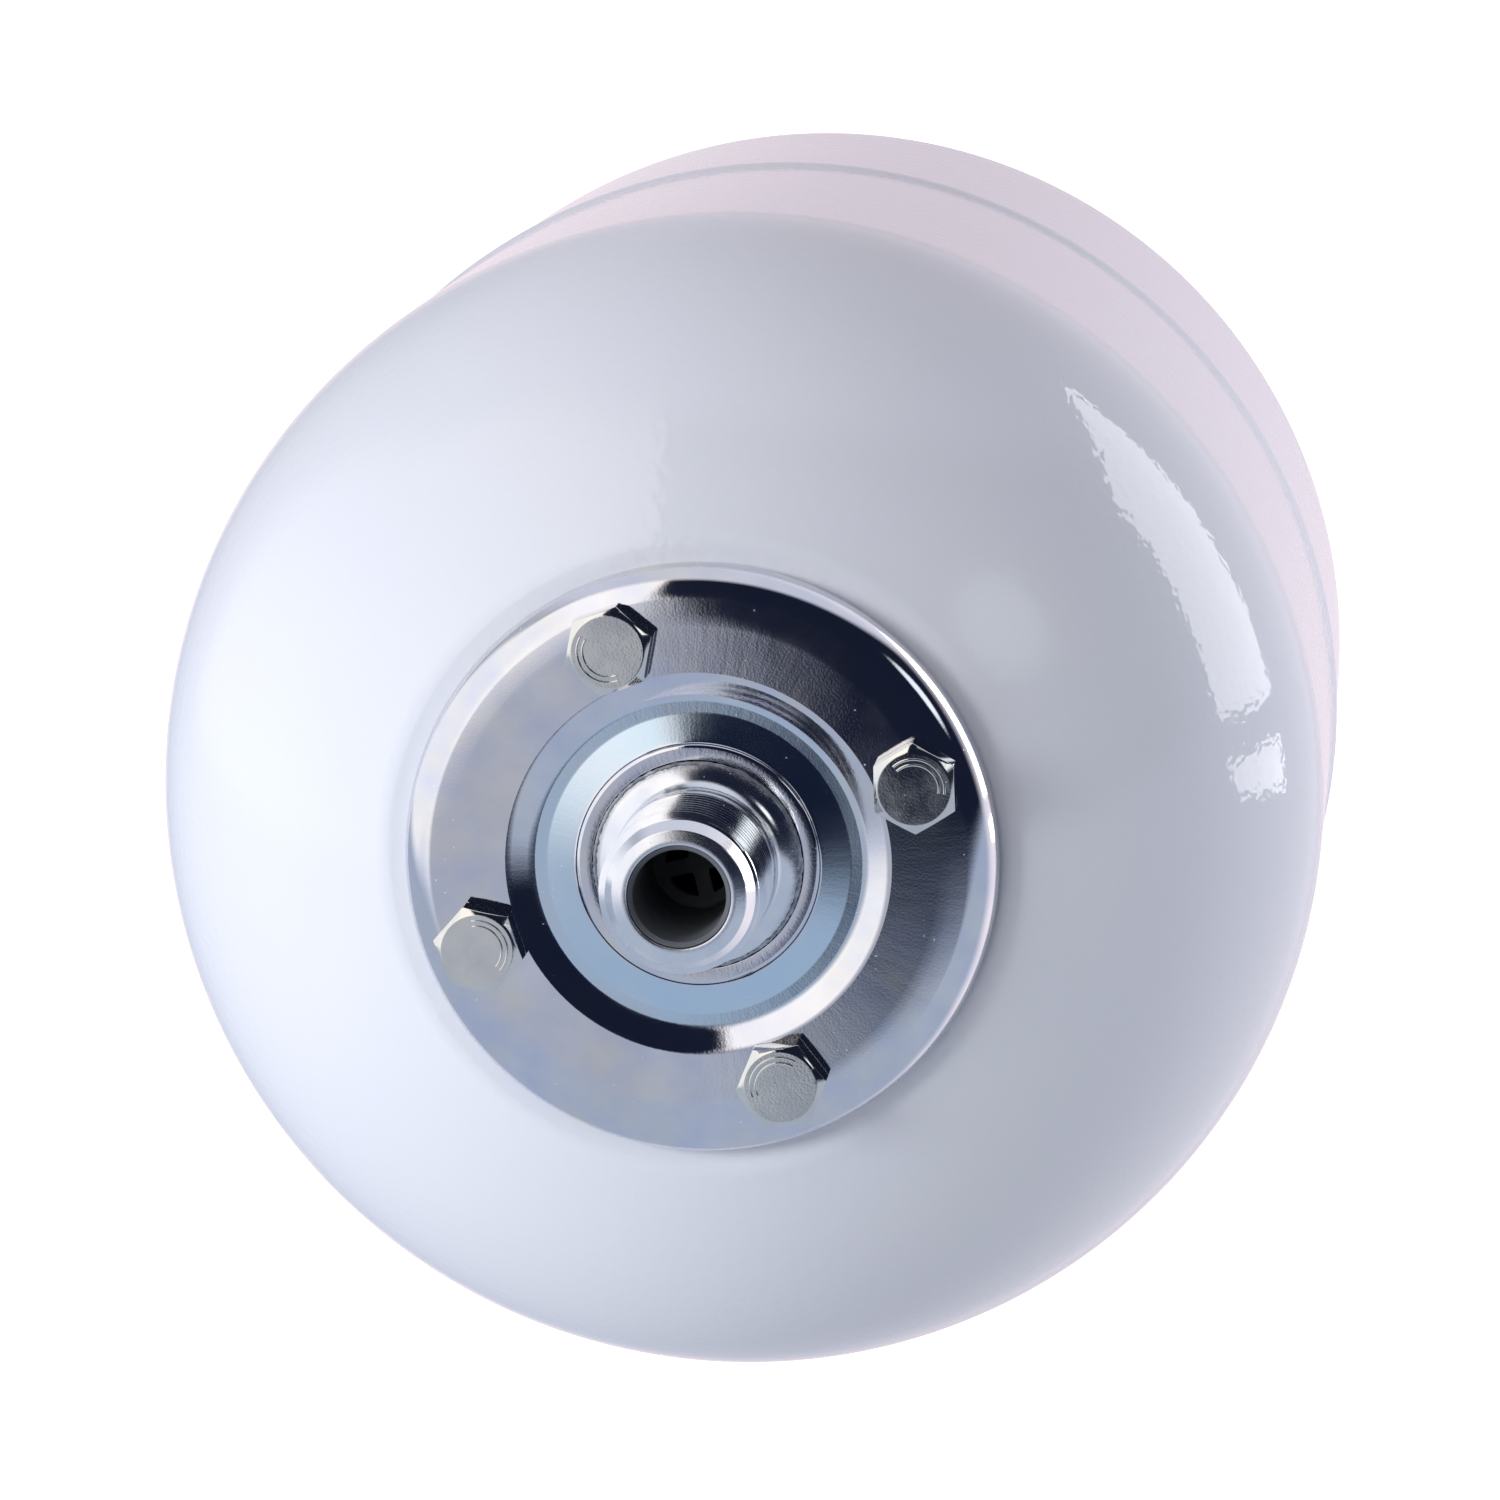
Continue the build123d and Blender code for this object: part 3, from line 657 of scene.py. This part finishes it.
def makeNipple(size):
    low, high = size["threadLow"], size["threadHigh"]
    lowRim, highRim = low - size["lowJoin"], high + size["highJoin"]
    shoulder = size["collarTop"] + size["baseStep"]
    bm = makeThread(size, low, high, nippleLimit)
    body = bmesh.new()
    drawLine(body, [
        (size["root"], highRim),
        (size["lead"], size["leadHeight"], size["leadRound"]),
        (size["faceEdge"], size["tip"] - size["faceDrop"], size["faceEdgeRound"]),
        (size["face"], size["tip"], size["faceRound"]),
        (size["bore"], size["tip"] - size["boreDrop"], size["boreRound"]),
        (size["bore"], size["tail"]),
        (size["base"], size["tail"]),
        (size["base"], shoulder, size["baseRound"]),
        (size["neck"], shoulder, size["base"] - size["neck"] - size["sweepSpare"]),
        (size["neck"], lowRim),
    ], segments=14)
    turnLine(body, size["steps"])
    joinMesh(bm, body)
    bridgeHeights(bm, ((high, highRim), (low, lowRim)))
    bmesh.ops.recalc_face_normals(bm, faces=bm.faces)
    return bm


finishPiece(makeNipple(nipple), "threadedNipple", turnedZinc, "vessel", ["nipple"], 38)

bead = {"radius": 16.75, "z": -7.08, "section": 0.42, "rough": 0.22, "grain": 1.6, "points": 12, "steps": 260}


def makeBead(size):                              # the small weld between the nipple and the collar
    bm = bmesh.new()
    centre = Matrix.Translation((size["radius"], 0, size["z"])) @ Matrix.Rotation(pi / 2, 4, "X")
    bmesh.ops.create_circle(bm, segments=size["points"], radius=size["section"], matrix=centre)
    turnLine(bm, size["steps"])
    for vert in bm.verts:
        push = noise.noise(vert.co * size["grain"]) * size["rough"]
        vert.co += vert.normal * push
    return bm


finishPiece(makeBead(bead), "nippleWeld", plain["weldGrey"], "vessel", [], 60)
print("nipple made")


# Flange screws: hexagon heads with a chamfered top, a washer face and a shank

screw = {
    "flats": 13.0, "height": 5.3, "washer": 6.1, "washerHeight": 0.35, "face": 6.05, "faceRings": (0.3, 0.6),
    "slope": 30.0, "shank": 4.0, "length": 16.0, "tipChamfer": 0.8, "segments": 96, "edge": 0.12,
    "edgeAngle": 24, "arcRadii": (4.95, 4.05), "arcWidth": 0.44, "arcHeight": 0.2, "arcRound": 0.13,
    "arcSunk": 0.05, "arcSweep": 140.0, "arcSteps": 40, "arcStart": (-8.0, 150.0, -40.0, 60.0),
}


def addArc(bm, size, radius, start):             # a plain raised arc pressed on the head
    arc = bmesh.new()
    inner, outer = radius - size["arcWidth"] / 2, radius + size["arcWidth"] / 2
    low, high = size["height"] - size["arcSunk"], size["height"] + size["arcHeight"]
    bend = size["arcRound"]
    drawLine(arc, [(inner, low), (inner, high, bend), (outer, high, bend), (outer, low)], closed=True, segments=4)
    bmesh.ops.edgeloop_fill(arc, edges=arc.edges[:])
    bmesh.ops.spin(arc, geom=arc.faces[:], cent=origin, axis=upAxis, dvec=origin,
                   angle=radians(size["arcSweep"]), steps=size["arcSteps"], use_merge=False)
    bmesh.ops.recalc_face_normals(arc, faces=arc.faces)
    turnAbout(arc, radians(start))
    joinMesh(bm, arc)


def makeScrew(size, centre, corner, arcStart):
    bm = bmesh.new()
    top, end, washerTop = size["height"], -size["length"], size["washerHeight"]
    ring = startRing(bm, size["segments"], size["shank"] - size["tipChamfer"], end)
    bmesh.ops.edgeloop_fill(bm, edges=ring)
    ring = stackRings(bm, ring, [
        (size["shank"], end + size["tipChamfer"]), (size["shank"], 0), (size["washer"], 0),
        (size["washer"], washerTop), hexWall(size, washerTop), hexCrown(size, top), (size["face"], top),
        *[(size["face"] - inset, top) for inset in size["faceRings"]],
    ])
    bmesh.ops.edgeloop_fill(bm, edges=ring)
    bmesh.ops.recalc_face_normals(bm, faces=bm.faces)
    softenEdges(bm, size["edge"], size["edgeAngle"])
    turnAbout(bm, corner)
    for radius in size["arcRadii"]:
        addArc(bm, size, radius, arcStart)
    bmesh.ops.translate(bm, vec=centre, verts=bm.verts)
    return bm


for number in range(flange["screws"]):           # each head is turned as its CAD node is
    node = f"flange_bolt_{number + 1}"
    centre = screwPlace(flange, number, flange["top"])
    verts = [v.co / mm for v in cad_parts[node].data.vertices]
    far = max(verts, key=lambda v: hypot(v.x - centre.x, v.y - centre.y))
    corner = atan2(far.y - centre.y, far.x - centre.x)
    shape = makeScrew(screw, centre, corner, screw["arcStart"][number])
    finishPiece(shape, f"flangeScrew{number + 1}", headZinc, "vessel", [node], 25)
print("screws made")


# Plastic sleeve with its grid

sleeve = {
    "outer": 8.3, "outerRound": 0.12, "bore": 7.45, "top": 19.4, "mouth": 0.6, "mouthRound": 0.4,
    "topRound": 0.15, "tail": -12.5, "flange": 11.5, "flangeRound": 0.3, "end": -14.0, "grid": -8.6,
    "gridEnd": -10.6, "gridRound": 0.5, "openings": 4, "opening": 5.5, "bar": 2.5, "corner": 0.5,
    "cornerAngle": 130, "turn": 13.8, "cutBelow": 1.0, "cutDepth": 4.0, "arcSegments": 96, "steps": 128,
}


def makeSleeve(size):
    bm = bmesh.new()
    drawLine(bm, [
        (0, size["grid"]),
        (size["bore"], size["grid"], size["gridRound"]),
        (size["bore"], size["top"] - size["mouth"], size["mouthRound"]),
        (size["bore"] + size["mouth"], size["top"], size["topRound"]),
        (size["outer"], size["top"], size["outerRound"]),
        (size["outer"], size["tail"]),
        (size["flange"], size["tail"]),
        (size["flange"], size["end"], size["flangeRound"]),
        (size["bore"], size["end"]),
        (size["bore"], size["gridEnd"]),
        (0, size["gridEnd"]),
    ])
    turnLine(bm, size["steps"])
    return bm


def sectorCutter(size):                          # sectors with rounded corners, which leave the cross
    def isCorner(vert):
        first, second = [e.other_vert(vert).co - vert.co for e in vert.link_edges]
        return first.angle(second) < radians(size["cornerAngle"])

    bm = bmesh.new()
    for number in range(size["openings"]):
        part = bmesh.new()
        bmesh.ops.create_circle(part, cap_ends=True, segments=size["arcSegments"], radius=size["opening"])
        for side in (Vector((1, 0, 0)), Vector((0, 1, 0))):
            bmesh.ops.bisect_plane(part, geom=wholeShape(part), plane_co=side * size["bar"] / 2, plane_no=side,
                                   clear_inner=True)
        bmesh.ops.bevel(part, geom=[v for v in part.verts if isCorner(v)], affect="VERTICES",
                        offset=size["corner"], segments=4, profile=0.5, material=-1)
        bmesh.ops.translate(part, vec=(0, 0, size["gridEnd"] - size["cutBelow"]), verts=part.verts)
        top = bmesh.ops.extrude_face_region(part, geom=part.faces[:])["geom"]
        bmesh.ops.translate(part, vec=(0, 0, size["cutDepth"]), verts=onlyKind(top, bmesh.types.BMVert))
        turnAbout(part, radians(size["turn"]) + number * fullTurn / size["openings"])
        bmesh.ops.recalc_face_normals(part, faces=part.faces)
        joinMesh(bm, part)
    return inMetres(bm, "sectorCutter")


strainer = finishPiece(makeSleeve(sleeve), "strainerSleeve", plain["sleevePlastic"], "vessel",
                       ["strainer_insert"])
cutAway(strainer, sectorCutter(sleeve))
print("sleeve made")


# Valve end. The valve body is drawn outward from its hexagon and turned over to point to -Z.

boss = {"radius": 12.0, "bore": 6.05, "boreRound": 0.3, "spigot": 9.0, "edge": 0.8, "gap": 0.02, "steps": 128}


def makeBoss(size):
    bm = bmesh.new()
    low, flat, high = nodeLow("valve_boss"), valveFlatZ - size["gap"], nodeHigh("valve_boss")
    drawLine(bm, [(size["spigot"], high), (size["spigot"], flat), (size["radius"], flat),
                  (size["radius"], low, size["edge"]), (size["bore"], low, size["boreRound"]),
                  (size["bore"], high)], closed=True)
    turnLine(bm, size["steps"])
    return bm


finishPiece(makeBoss(boss), "valveBoss", tankEnamel, "vessel", ["valve_boss"])

valve = {
    "flats": 17.0, "face": 8.2, "faceRing": 0.4, "slope": 30.0, "edge": 0.12, "edgeAngle": 24, "segments": 96,
    "airWay": 1.9, "spigot": 6.0, "spigotChamfer": 0.5, "groove": 7.65, "grooveDepth": 1.3, "hexHeight": 3.0,
    "neck": 3.3, "neckEnd": 1.5, "mouth": 12.0, "mouthChamfer": 0.05, "mouthRound": 0.2, "join": 0.1,
    "bore": 2.65, "boreFloor": 2.5, "pitch": 0.794, "crestSharp": 3.95, "rootSharp": 3.3, "threadRound": 0.1,
    "crest": 3.85, "root": 3.4, "steps": 64, "turns": 18,
}


def stemLimit(radius, z):                        # both ends of the thread run in from its root
    depth = min(z - valve["neckEnd"], valve["mouth"] - z)
    return min(radius, valve["crest"], valve["root"] + max(0, depth))


def makeValveBody(size):
    join = size["join"]
    low, high, neckRim = size["neckEnd"] + join, size["mouth"] - join, size["neckEnd"] - join
    inner = size["mouth"] + nodeLow("valve_body") - nodeHigh("valve_body")
    seat, groove = -size["hexHeight"], -size["hexHeight"] + size["grooveDepth"]
    bm = makeThread(size, low, high, stemLimit)
    body = bmesh.new()
    stackRings(body, startRing(body, size["segments"], size["airWay"], inner), [
        (size["spigot"] - size["spigotChamfer"], inner), (size["spigot"], inner + size["spigotChamfer"]),
        (size["spigot"], groove), (size["groove"], groove), (size["groove"], seat),
        hexWall(size, seat), hexCrown(size, 0), (size["face"], 0), (size["face"] - size["faceRing"], 0),
        (size["neck"], 0), (size["neck"], neckRim),
    ])
    softenEdges(body, size["edge"], size["edgeAngle"])
    joinMesh(bm, body)
    end = bmesh.new()
    drawLine(end, [(size["root"] - size["mouthChamfer"], size["mouth"]),
                   (size["bore"], size["mouth"], size["mouthRound"]), (size["bore"], size["boreFloor"]),
                   (size["airWay"], size["boreFloor"]), (size["airWay"], inner)])
    turnLine(end, size["segments"])
    joinMesh(bm, end)
    bridgeHeights(bm, ((neckRim, low), (high, size["mouth"])))
    bmesh.ops.remove_doubles(bm, verts=[v for v in bm.verts if v.is_boundary], dist=loopReach)
    bmesh.ops.recalc_face_normals(bm, faces=bm.faces)
    turnAbout(bm, pi, "X")
    bmesh.ops.translate(bm, vec=(0, 0, nodeLow("valve_body") + size["mouth"]), verts=bm.verts)
    return bm


finishPiece(makeValveBody(valve), "valveBody", plain["yellowBrass"], "vessel",
            ["valve_body"], 30)

cap = {
    "radius": 5.2, "bore": 3.9, "boreChamfer": 0.1, "end": 1.2, "endRing": 1.5, "floorRing": 0.4, "edge": 0.5,
    "edgeSteps": 5, "ribs": 12, "ribDepth": 0.42, "ribWidth": 0.32, "ribStart": -0.1, "ribFull": 0.25,
    "rimChamfer": 0.15, "segments": 288,
}


def makeCap(size):
    bm = bmesh.new()
    low, high = nodeLow("dust_cap"), nodeHigh("dust_cap")
    radius, edge, bore, floor = size["radius"], size["edge"], size["bore"], low + size["end"]
    boreTop = high - size["boreChamfer"]

    def ribbed(z, inset=0):                      # round grooves for the fingers
        def place(turn):
            away = abs((turn * size["ribs"] / fullTurn + 0.5) % 1 - 0.5) / size["ribWidth"]
            return radius - (size["ribDepth"] * cos(away * pi / 2) ** 2 if away < 1 else 0) - inset, z
        return place

    ring = startRing(bm, size["segments"], radius - edge - size["endRing"], low)
    bmesh.ops.edgeloop_fill(bm, edges=ring)
    bends = [pi / 2 * step / size["edgeSteps"] for step in range(size["edgeSteps"] + 1)]
    ring = stackRings(bm, ring, [
        *[(radius - edge * (1 - sin(bend)), low + edge * (1 - cos(bend))) for bend in bends],
        (radius, floor + size["ribStart"]), ribbed(floor + size["ribFull"]), ribbed(high - size["rimChamfer"]),
        ribbed(high, size["rimChamfer"]), (bore + size["boreChamfer"], high), (bore, boreTop), (bore, floor),
        (bore - size["floorRing"], floor),
    ])
    bmesh.ops.edgeloop_fill(bm, edges=ring)
    bmesh.ops.recalc_face_normals(bm, faces=bm.faces)
    return bm


finishPiece(makeCap(cap), "dustCap", plain["capPlastic"], "vessel", ["dust_cap"], 40)

cover = {
    "radius": 13.55, "bore": 12.05, "boreRound": 0.3, "wall": 1.5, "draft": 0.5, "crown": 4.0,
    "innerCrown": 2.5, "bead": 0.9, "beadRound": 0.45, "beadHeight": 3.0, "steps": 160,
}


def makeCover(size):
    bm = bmesh.new()
    rimZ, endZ = nodeHigh("valve_cover"), nodeLow("valve_cover")
    beadZ, wide, bend = rimZ - size["beadHeight"], size["radius"] + size["bead"], size["beadRound"]
    drawLine(bm, [
        (0, endZ), (size["radius"] - size["draft"], endZ, size["crown"]), (size["radius"], beadZ, bend),
        (wide, beadZ + size["bead"], bend), (wide, rimZ, bend), (size["bore"], rimZ, size["boreRound"]),
        (size["bore"], endZ + size["wall"], size["innerCrown"]), (0, endZ + size["wall"]),
    ], segments=10)
    turnLine(bm, size["steps"])
    return bm


finishPiece(makeCover(cover), "valveCover", plain["coverPlastic"], "cover", ["valve_cover"])
print("valve end made")


# The valve core's spring: a coil of wire between the heights of its CAD node

coil = {"wire": 0.16, "radius": 1.2, "turns": 5, "steps": 48, "points": 12}


def makeCoil(size, low, high):
    steps = size["steps"] * size["turns"]
    rise = high - low - 2 * size["wire"]
    place = Matrix.Translation((size["radius"], 0, low + size["wire"])) @ Matrix.Rotation(pi / 2, 4, "X")
    bm = bmesh.new()
    bmesh.ops.create_circle(bm, segments=size["points"], radius=size["wire"], matrix=place)
    bmesh.ops.spin(bm, geom=bm.verts[:] + bm.edges[:], cent=origin, axis=upAxis, dvec=(0, 0, rise / steps),
                   angle=fullTurn * size["turns"], steps=steps, use_merge=False)
    bmesh.ops.holes_fill(bm, edges=[e for e in bm.edges if e.is_boundary], sides=size["points"])
    bmesh.ops.recalc_face_normals(bm, faces=bm.faces)
    return bm


coilLow, coilHigh = nodeLow("core_spring"), nodeHigh("core_spring")
coreSpring = finishPiece(makeCoil(coil, coilLow, coilHigh), "coreSpring", plain["springSteel"], None,
                         ["core_spring"])
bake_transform(coreSpring)
print("spring made")


# Pieces that keep their CAD shape

kept = {
    "counter_ring": "bareSteel", "membrane": "bagRubber", "valve_o_ring": "sealRubber",
    "core_barrel": "yellowBrass", "core_gasket": "sealRubber", "core_pin": "yellowBrass",
    "core_seal": "sealRubber", "dust_cap_seal": "sealRubber",
}
for node, look in kept.items():
    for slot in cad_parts[node].material_slots:
        slot.link = "OBJECT"
        slot.material = plain[look]


# Lamps, the window and tent that only shiny faces see, floor, room and camera. All in metres.

plainWhite = (1, 1, 1, 1)
lamps = [                                        # name, direction, distance, size, energy, colour
    ("keyLamp", (-0.80, 0.22, 0.62), 1.7, 0.6, 17.8, (0.97, 0.98, 1.0)),
    ("fillLamp", (-0.50, -0.74, 0.45), 1.7, 1.5, 15.0, (0.90, 0.93, 1.0)),
    ("topLamp", (-0.30, 0.58, 0.72), 1.7, 1.5, 8.8, (0.97, 0.97, 1.0)),
    ("rimLamp", (0.97, -0.02, -0.22), 0.9, 0.40, 4.3, (0.90, 0.93, 1.0)),
]
window = {                                       # corners of each pane in the window's own plane
    "azimuth": 22.0, "elevation": -19.0, "distance": 0.62, "color": (0.98, 0.98, 1.0, 1), "glow": 4.7,
    "panes": (
        ((-0.190, 0.118), (0.165, 0.130), (0.310, -0.105), (-0.170, -0.155)),
        ((-0.306, 0.050), (-0.258, 0.105), (-0.218, -0.170), (-0.290, -0.197)),
    ),
}
tent = {
    "radius": 3.2, "bottom": -0.45, "base": (0.50, 0.53, 0.62, 1),
    "patches": (                                 # direction, inner and outer angle in degrees, colour
        ((-0.50, 0.50, 0.707), 35, 45, (1.28, 1.24, 1.22, 1)),
        ((-0.95, -0.10, 0.28), 42, 56, (1.10, 1.12, 1.18, 1)),
        ((-0.50, -0.75, 0.45), 25, 45, (0.60, 0.64, 0.76, 1)),
        ((1.0, 0.18, 0.138), 88.8, 91.2, (0.010, 0.014, 0.032, 1)),
        ((0.67, 0.42, 0.62), 4, 11, (1.20, 1.28, 1.34, 1)),
        ((0.1, -1.0, -0.20), 84, 92, (0.46, 0.53, 0.66, 1)),
        ((0.05, 1.0, -0.30), 35, 50, (0.72, 0.75, 0.86, 1)),
        ((0.60, 0.05, -0.80), 35, 72, (1.05, 0.99, 1.08, 1)),
        ((0.0, -0.1, -1.0), 30.2, 31.2, (0.90, 0.80, 0.88, 1)),
    ),
}
floor = {
    "z": -0.46, "radius": 4.0, "color": (0.82, 0.82, 0.84, 1), "bounce": (0.40, 0.34, 0.40, 1), "glow": 0.62,
    "roughness": 0.9, "segments": 96,
}
room = {"color": (0.86, 0.88, 1.0, 1), "strength": 0.19}
view = {
    "place": (0.1202, 0.2033, 1.0312), "forward": (-0.10514, -0.17379, -0.97919),
    "up": (-0.00921, 0.98474, -0.17379), "lens": 157.37, "sensor": 36.0,
}


def aim(direction, up=(0, 1, 0)):                # turns a lamp or camera so that its -Z looks along direction
    back = -Vector(direction).normalized()
    side = Vector(up).cross(back).normalized()
    return Matrix((side, back.cross(side), back)).transposed().to_4x4()


def addLamp(name, direction, distance, side, energy, color):
    lamp = bpy.data.lights.new(name, "AREA")
    lamp.shape = "RECTANGLE"
    lamp.size = lamp.size_y = side
    lamp.energy, lamp.color = energy, color
    holder = addObject(name, lamp)
    place = Vector(direction).normalized() * distance
    holder.matrix_world = Matrix.Translation(place) @ aim(-place)
    holder.visible_camera = holder.visible_glossy = False


def glowMaterial(name, strength, color):         # a colour, or a function that mixes one in the material
    material = bpy.data.materials.new(name)
    material.use_nodes = True
    tree = material.node_tree
    tree.nodes.clear()
    shade = color(tree) if callable(color) else color
    glow = addNode(tree, "ShaderNodeEmission", {"Color": shade, "Strength": strength})
    addNode(tree, "ShaderNodeOutputMaterial", {"Surface": glow.outputs[0]})
    return material


def reflectedOnly(name, mesh, material):         # seen in the shiny faces and nowhere else
    mesh.materials.append(material)
    thing = addObject(name, mesh)
    thing.visible_camera = thing.visible_diffuse = thing.visible_shadow = False
    thing.visible_transmission = thing.visible_volume_scatter = False


def makeWindow(size):
    bm = bmesh.new()
    for corners in size["panes"]:
        made = bmesh.ops.create_circle(bm, cap_ends=True, segments=len(corners), radius=1)
        for vert, (along, high) in zip(made["verts"], corners):
            vert.co = (along, high, 0)
    a, e = radians(size["azimuth"]), radians(size["elevation"])
    towards = Vector((cos(e) * cos(a), cos(e) * sin(a), sin(e)))
    bmesh.ops.transform(bm, matrix=Matrix.Translation(towards * size["distance"]) @ aim(-towards, upAxis),
                        verts=bm.verts)
    reflectedOnly("windowPanes", takeMesh(bm, "windowPanes"),
                  glowMaterial("windowGlass", size["glow"], size["color"]))


def makeTent(size):
    def patchwork(tree):                         # soft-edged patches, each over the ones before it
        place = addNode(tree, "ShaderNodeTexCoord").outputs["Object"]
        direction = vectorCalc(tree, "NORMALIZE", {0: place})[0]
        color = size["base"]
        for axis, inner, outer, shade in size["patches"]:
            dot = vectorCalc(tree, "DOT_PRODUCT", {0: direction, 1: Vector(axis).normalized()})["Value"]
            share = remap(tree, dot, cos(radians(outer)), cos(radians(inner)), smooth=True)
            color = mixColors(tree, share, color, shade)
        return color

    bm = bmesh.new()
    bmesh.ops.create_icosphere(bm, subdivisions=5, radius=size["radius"])
    for vert in bm.verts:                        # its bottom lies just over the floor
        vert.co.z = max(vert.co.z, size["bottom"])
    bmesh.ops.reverse_faces(bm, faces=bm.faces)
    mesh = takeMesh(bm, "lightTent")
    mesh.shade_smooth()
    reflectedOnly("lightTent", mesh, glowMaterial("tentCloth", 1.0, patchwork))


def seenDirectly(tree):                          # 1 for camera, glossy and transmission rays
    ray = addNode(tree, "ShaderNodeLightPath").outputs
    mirrored = calc(tree, "MAXIMUM", ray["Is Camera Ray"], ray["Is Glossy Ray"])
    return calc(tree, "MAXIMUM", mirrored, ray["Is Transmission Ray"])


def makeFloor(size):
    bm = bmesh.new()
    bmesh.ops.create_circle(bm, cap_ends=True, segments=size["segments"], radius=size["radius"])
    bmesh.ops.translate(bm, vec=(0, 0, size["z"]), verts=bm.verts)
    material = bpy.data.materials.new("floorPaper")
    material.use_nodes = True
    tree = material.node_tree
    seen = seenDirectly(tree)
    feed(tree, tree.nodes["Principled BSDF"], {
        "Base Color": mixColors(tree, seen, size["bounce"], size["color"]), "Roughness": size["roughness"],
        "Emission Color": plainWhite, "Emission Strength": calc(tree, "MULTIPLY", seen, size["glow"]),
    })
    mesh = takeMesh(bm, "floor")
    mesh.materials.append(material)
    addObject("floor", mesh)


def makeRoom(size):
    world = bpy.data.worlds.new("paleRoom")
    world.use_nodes = True
    tree = world.node_tree
    seen = seenDirectly(tree)
    feed(tree, tree.nodes["Background"], {
        "Color": mixColors(tree, seen, size["color"], plainWhite),
        "Strength": remap(tree, seen, 0, 1, size["strength"], 1.0),
    })
    bpy.context.scene.world = world


def makeCamera(size):
    lens = bpy.data.cameras.new("photoCamera")
    lens.lens, lens.sensor_width = size["lens"], size["sensor"]
    camera = addObject("photoCamera", lens)
    camera.matrix_world = Matrix.Translation(size["place"]) @ aim(size["forward"], size["up"])
    return camera


for lamp in lamps:
    addLamp(*lamp)
makeTent(tent)
makeWindow(window)
makeFloor(floor)
makeRoom(room)
bpy.context.scene.camera = makeCamera(view)
bpy.context.scene.view_settings.view_transform = "Standard"
print("studio made")
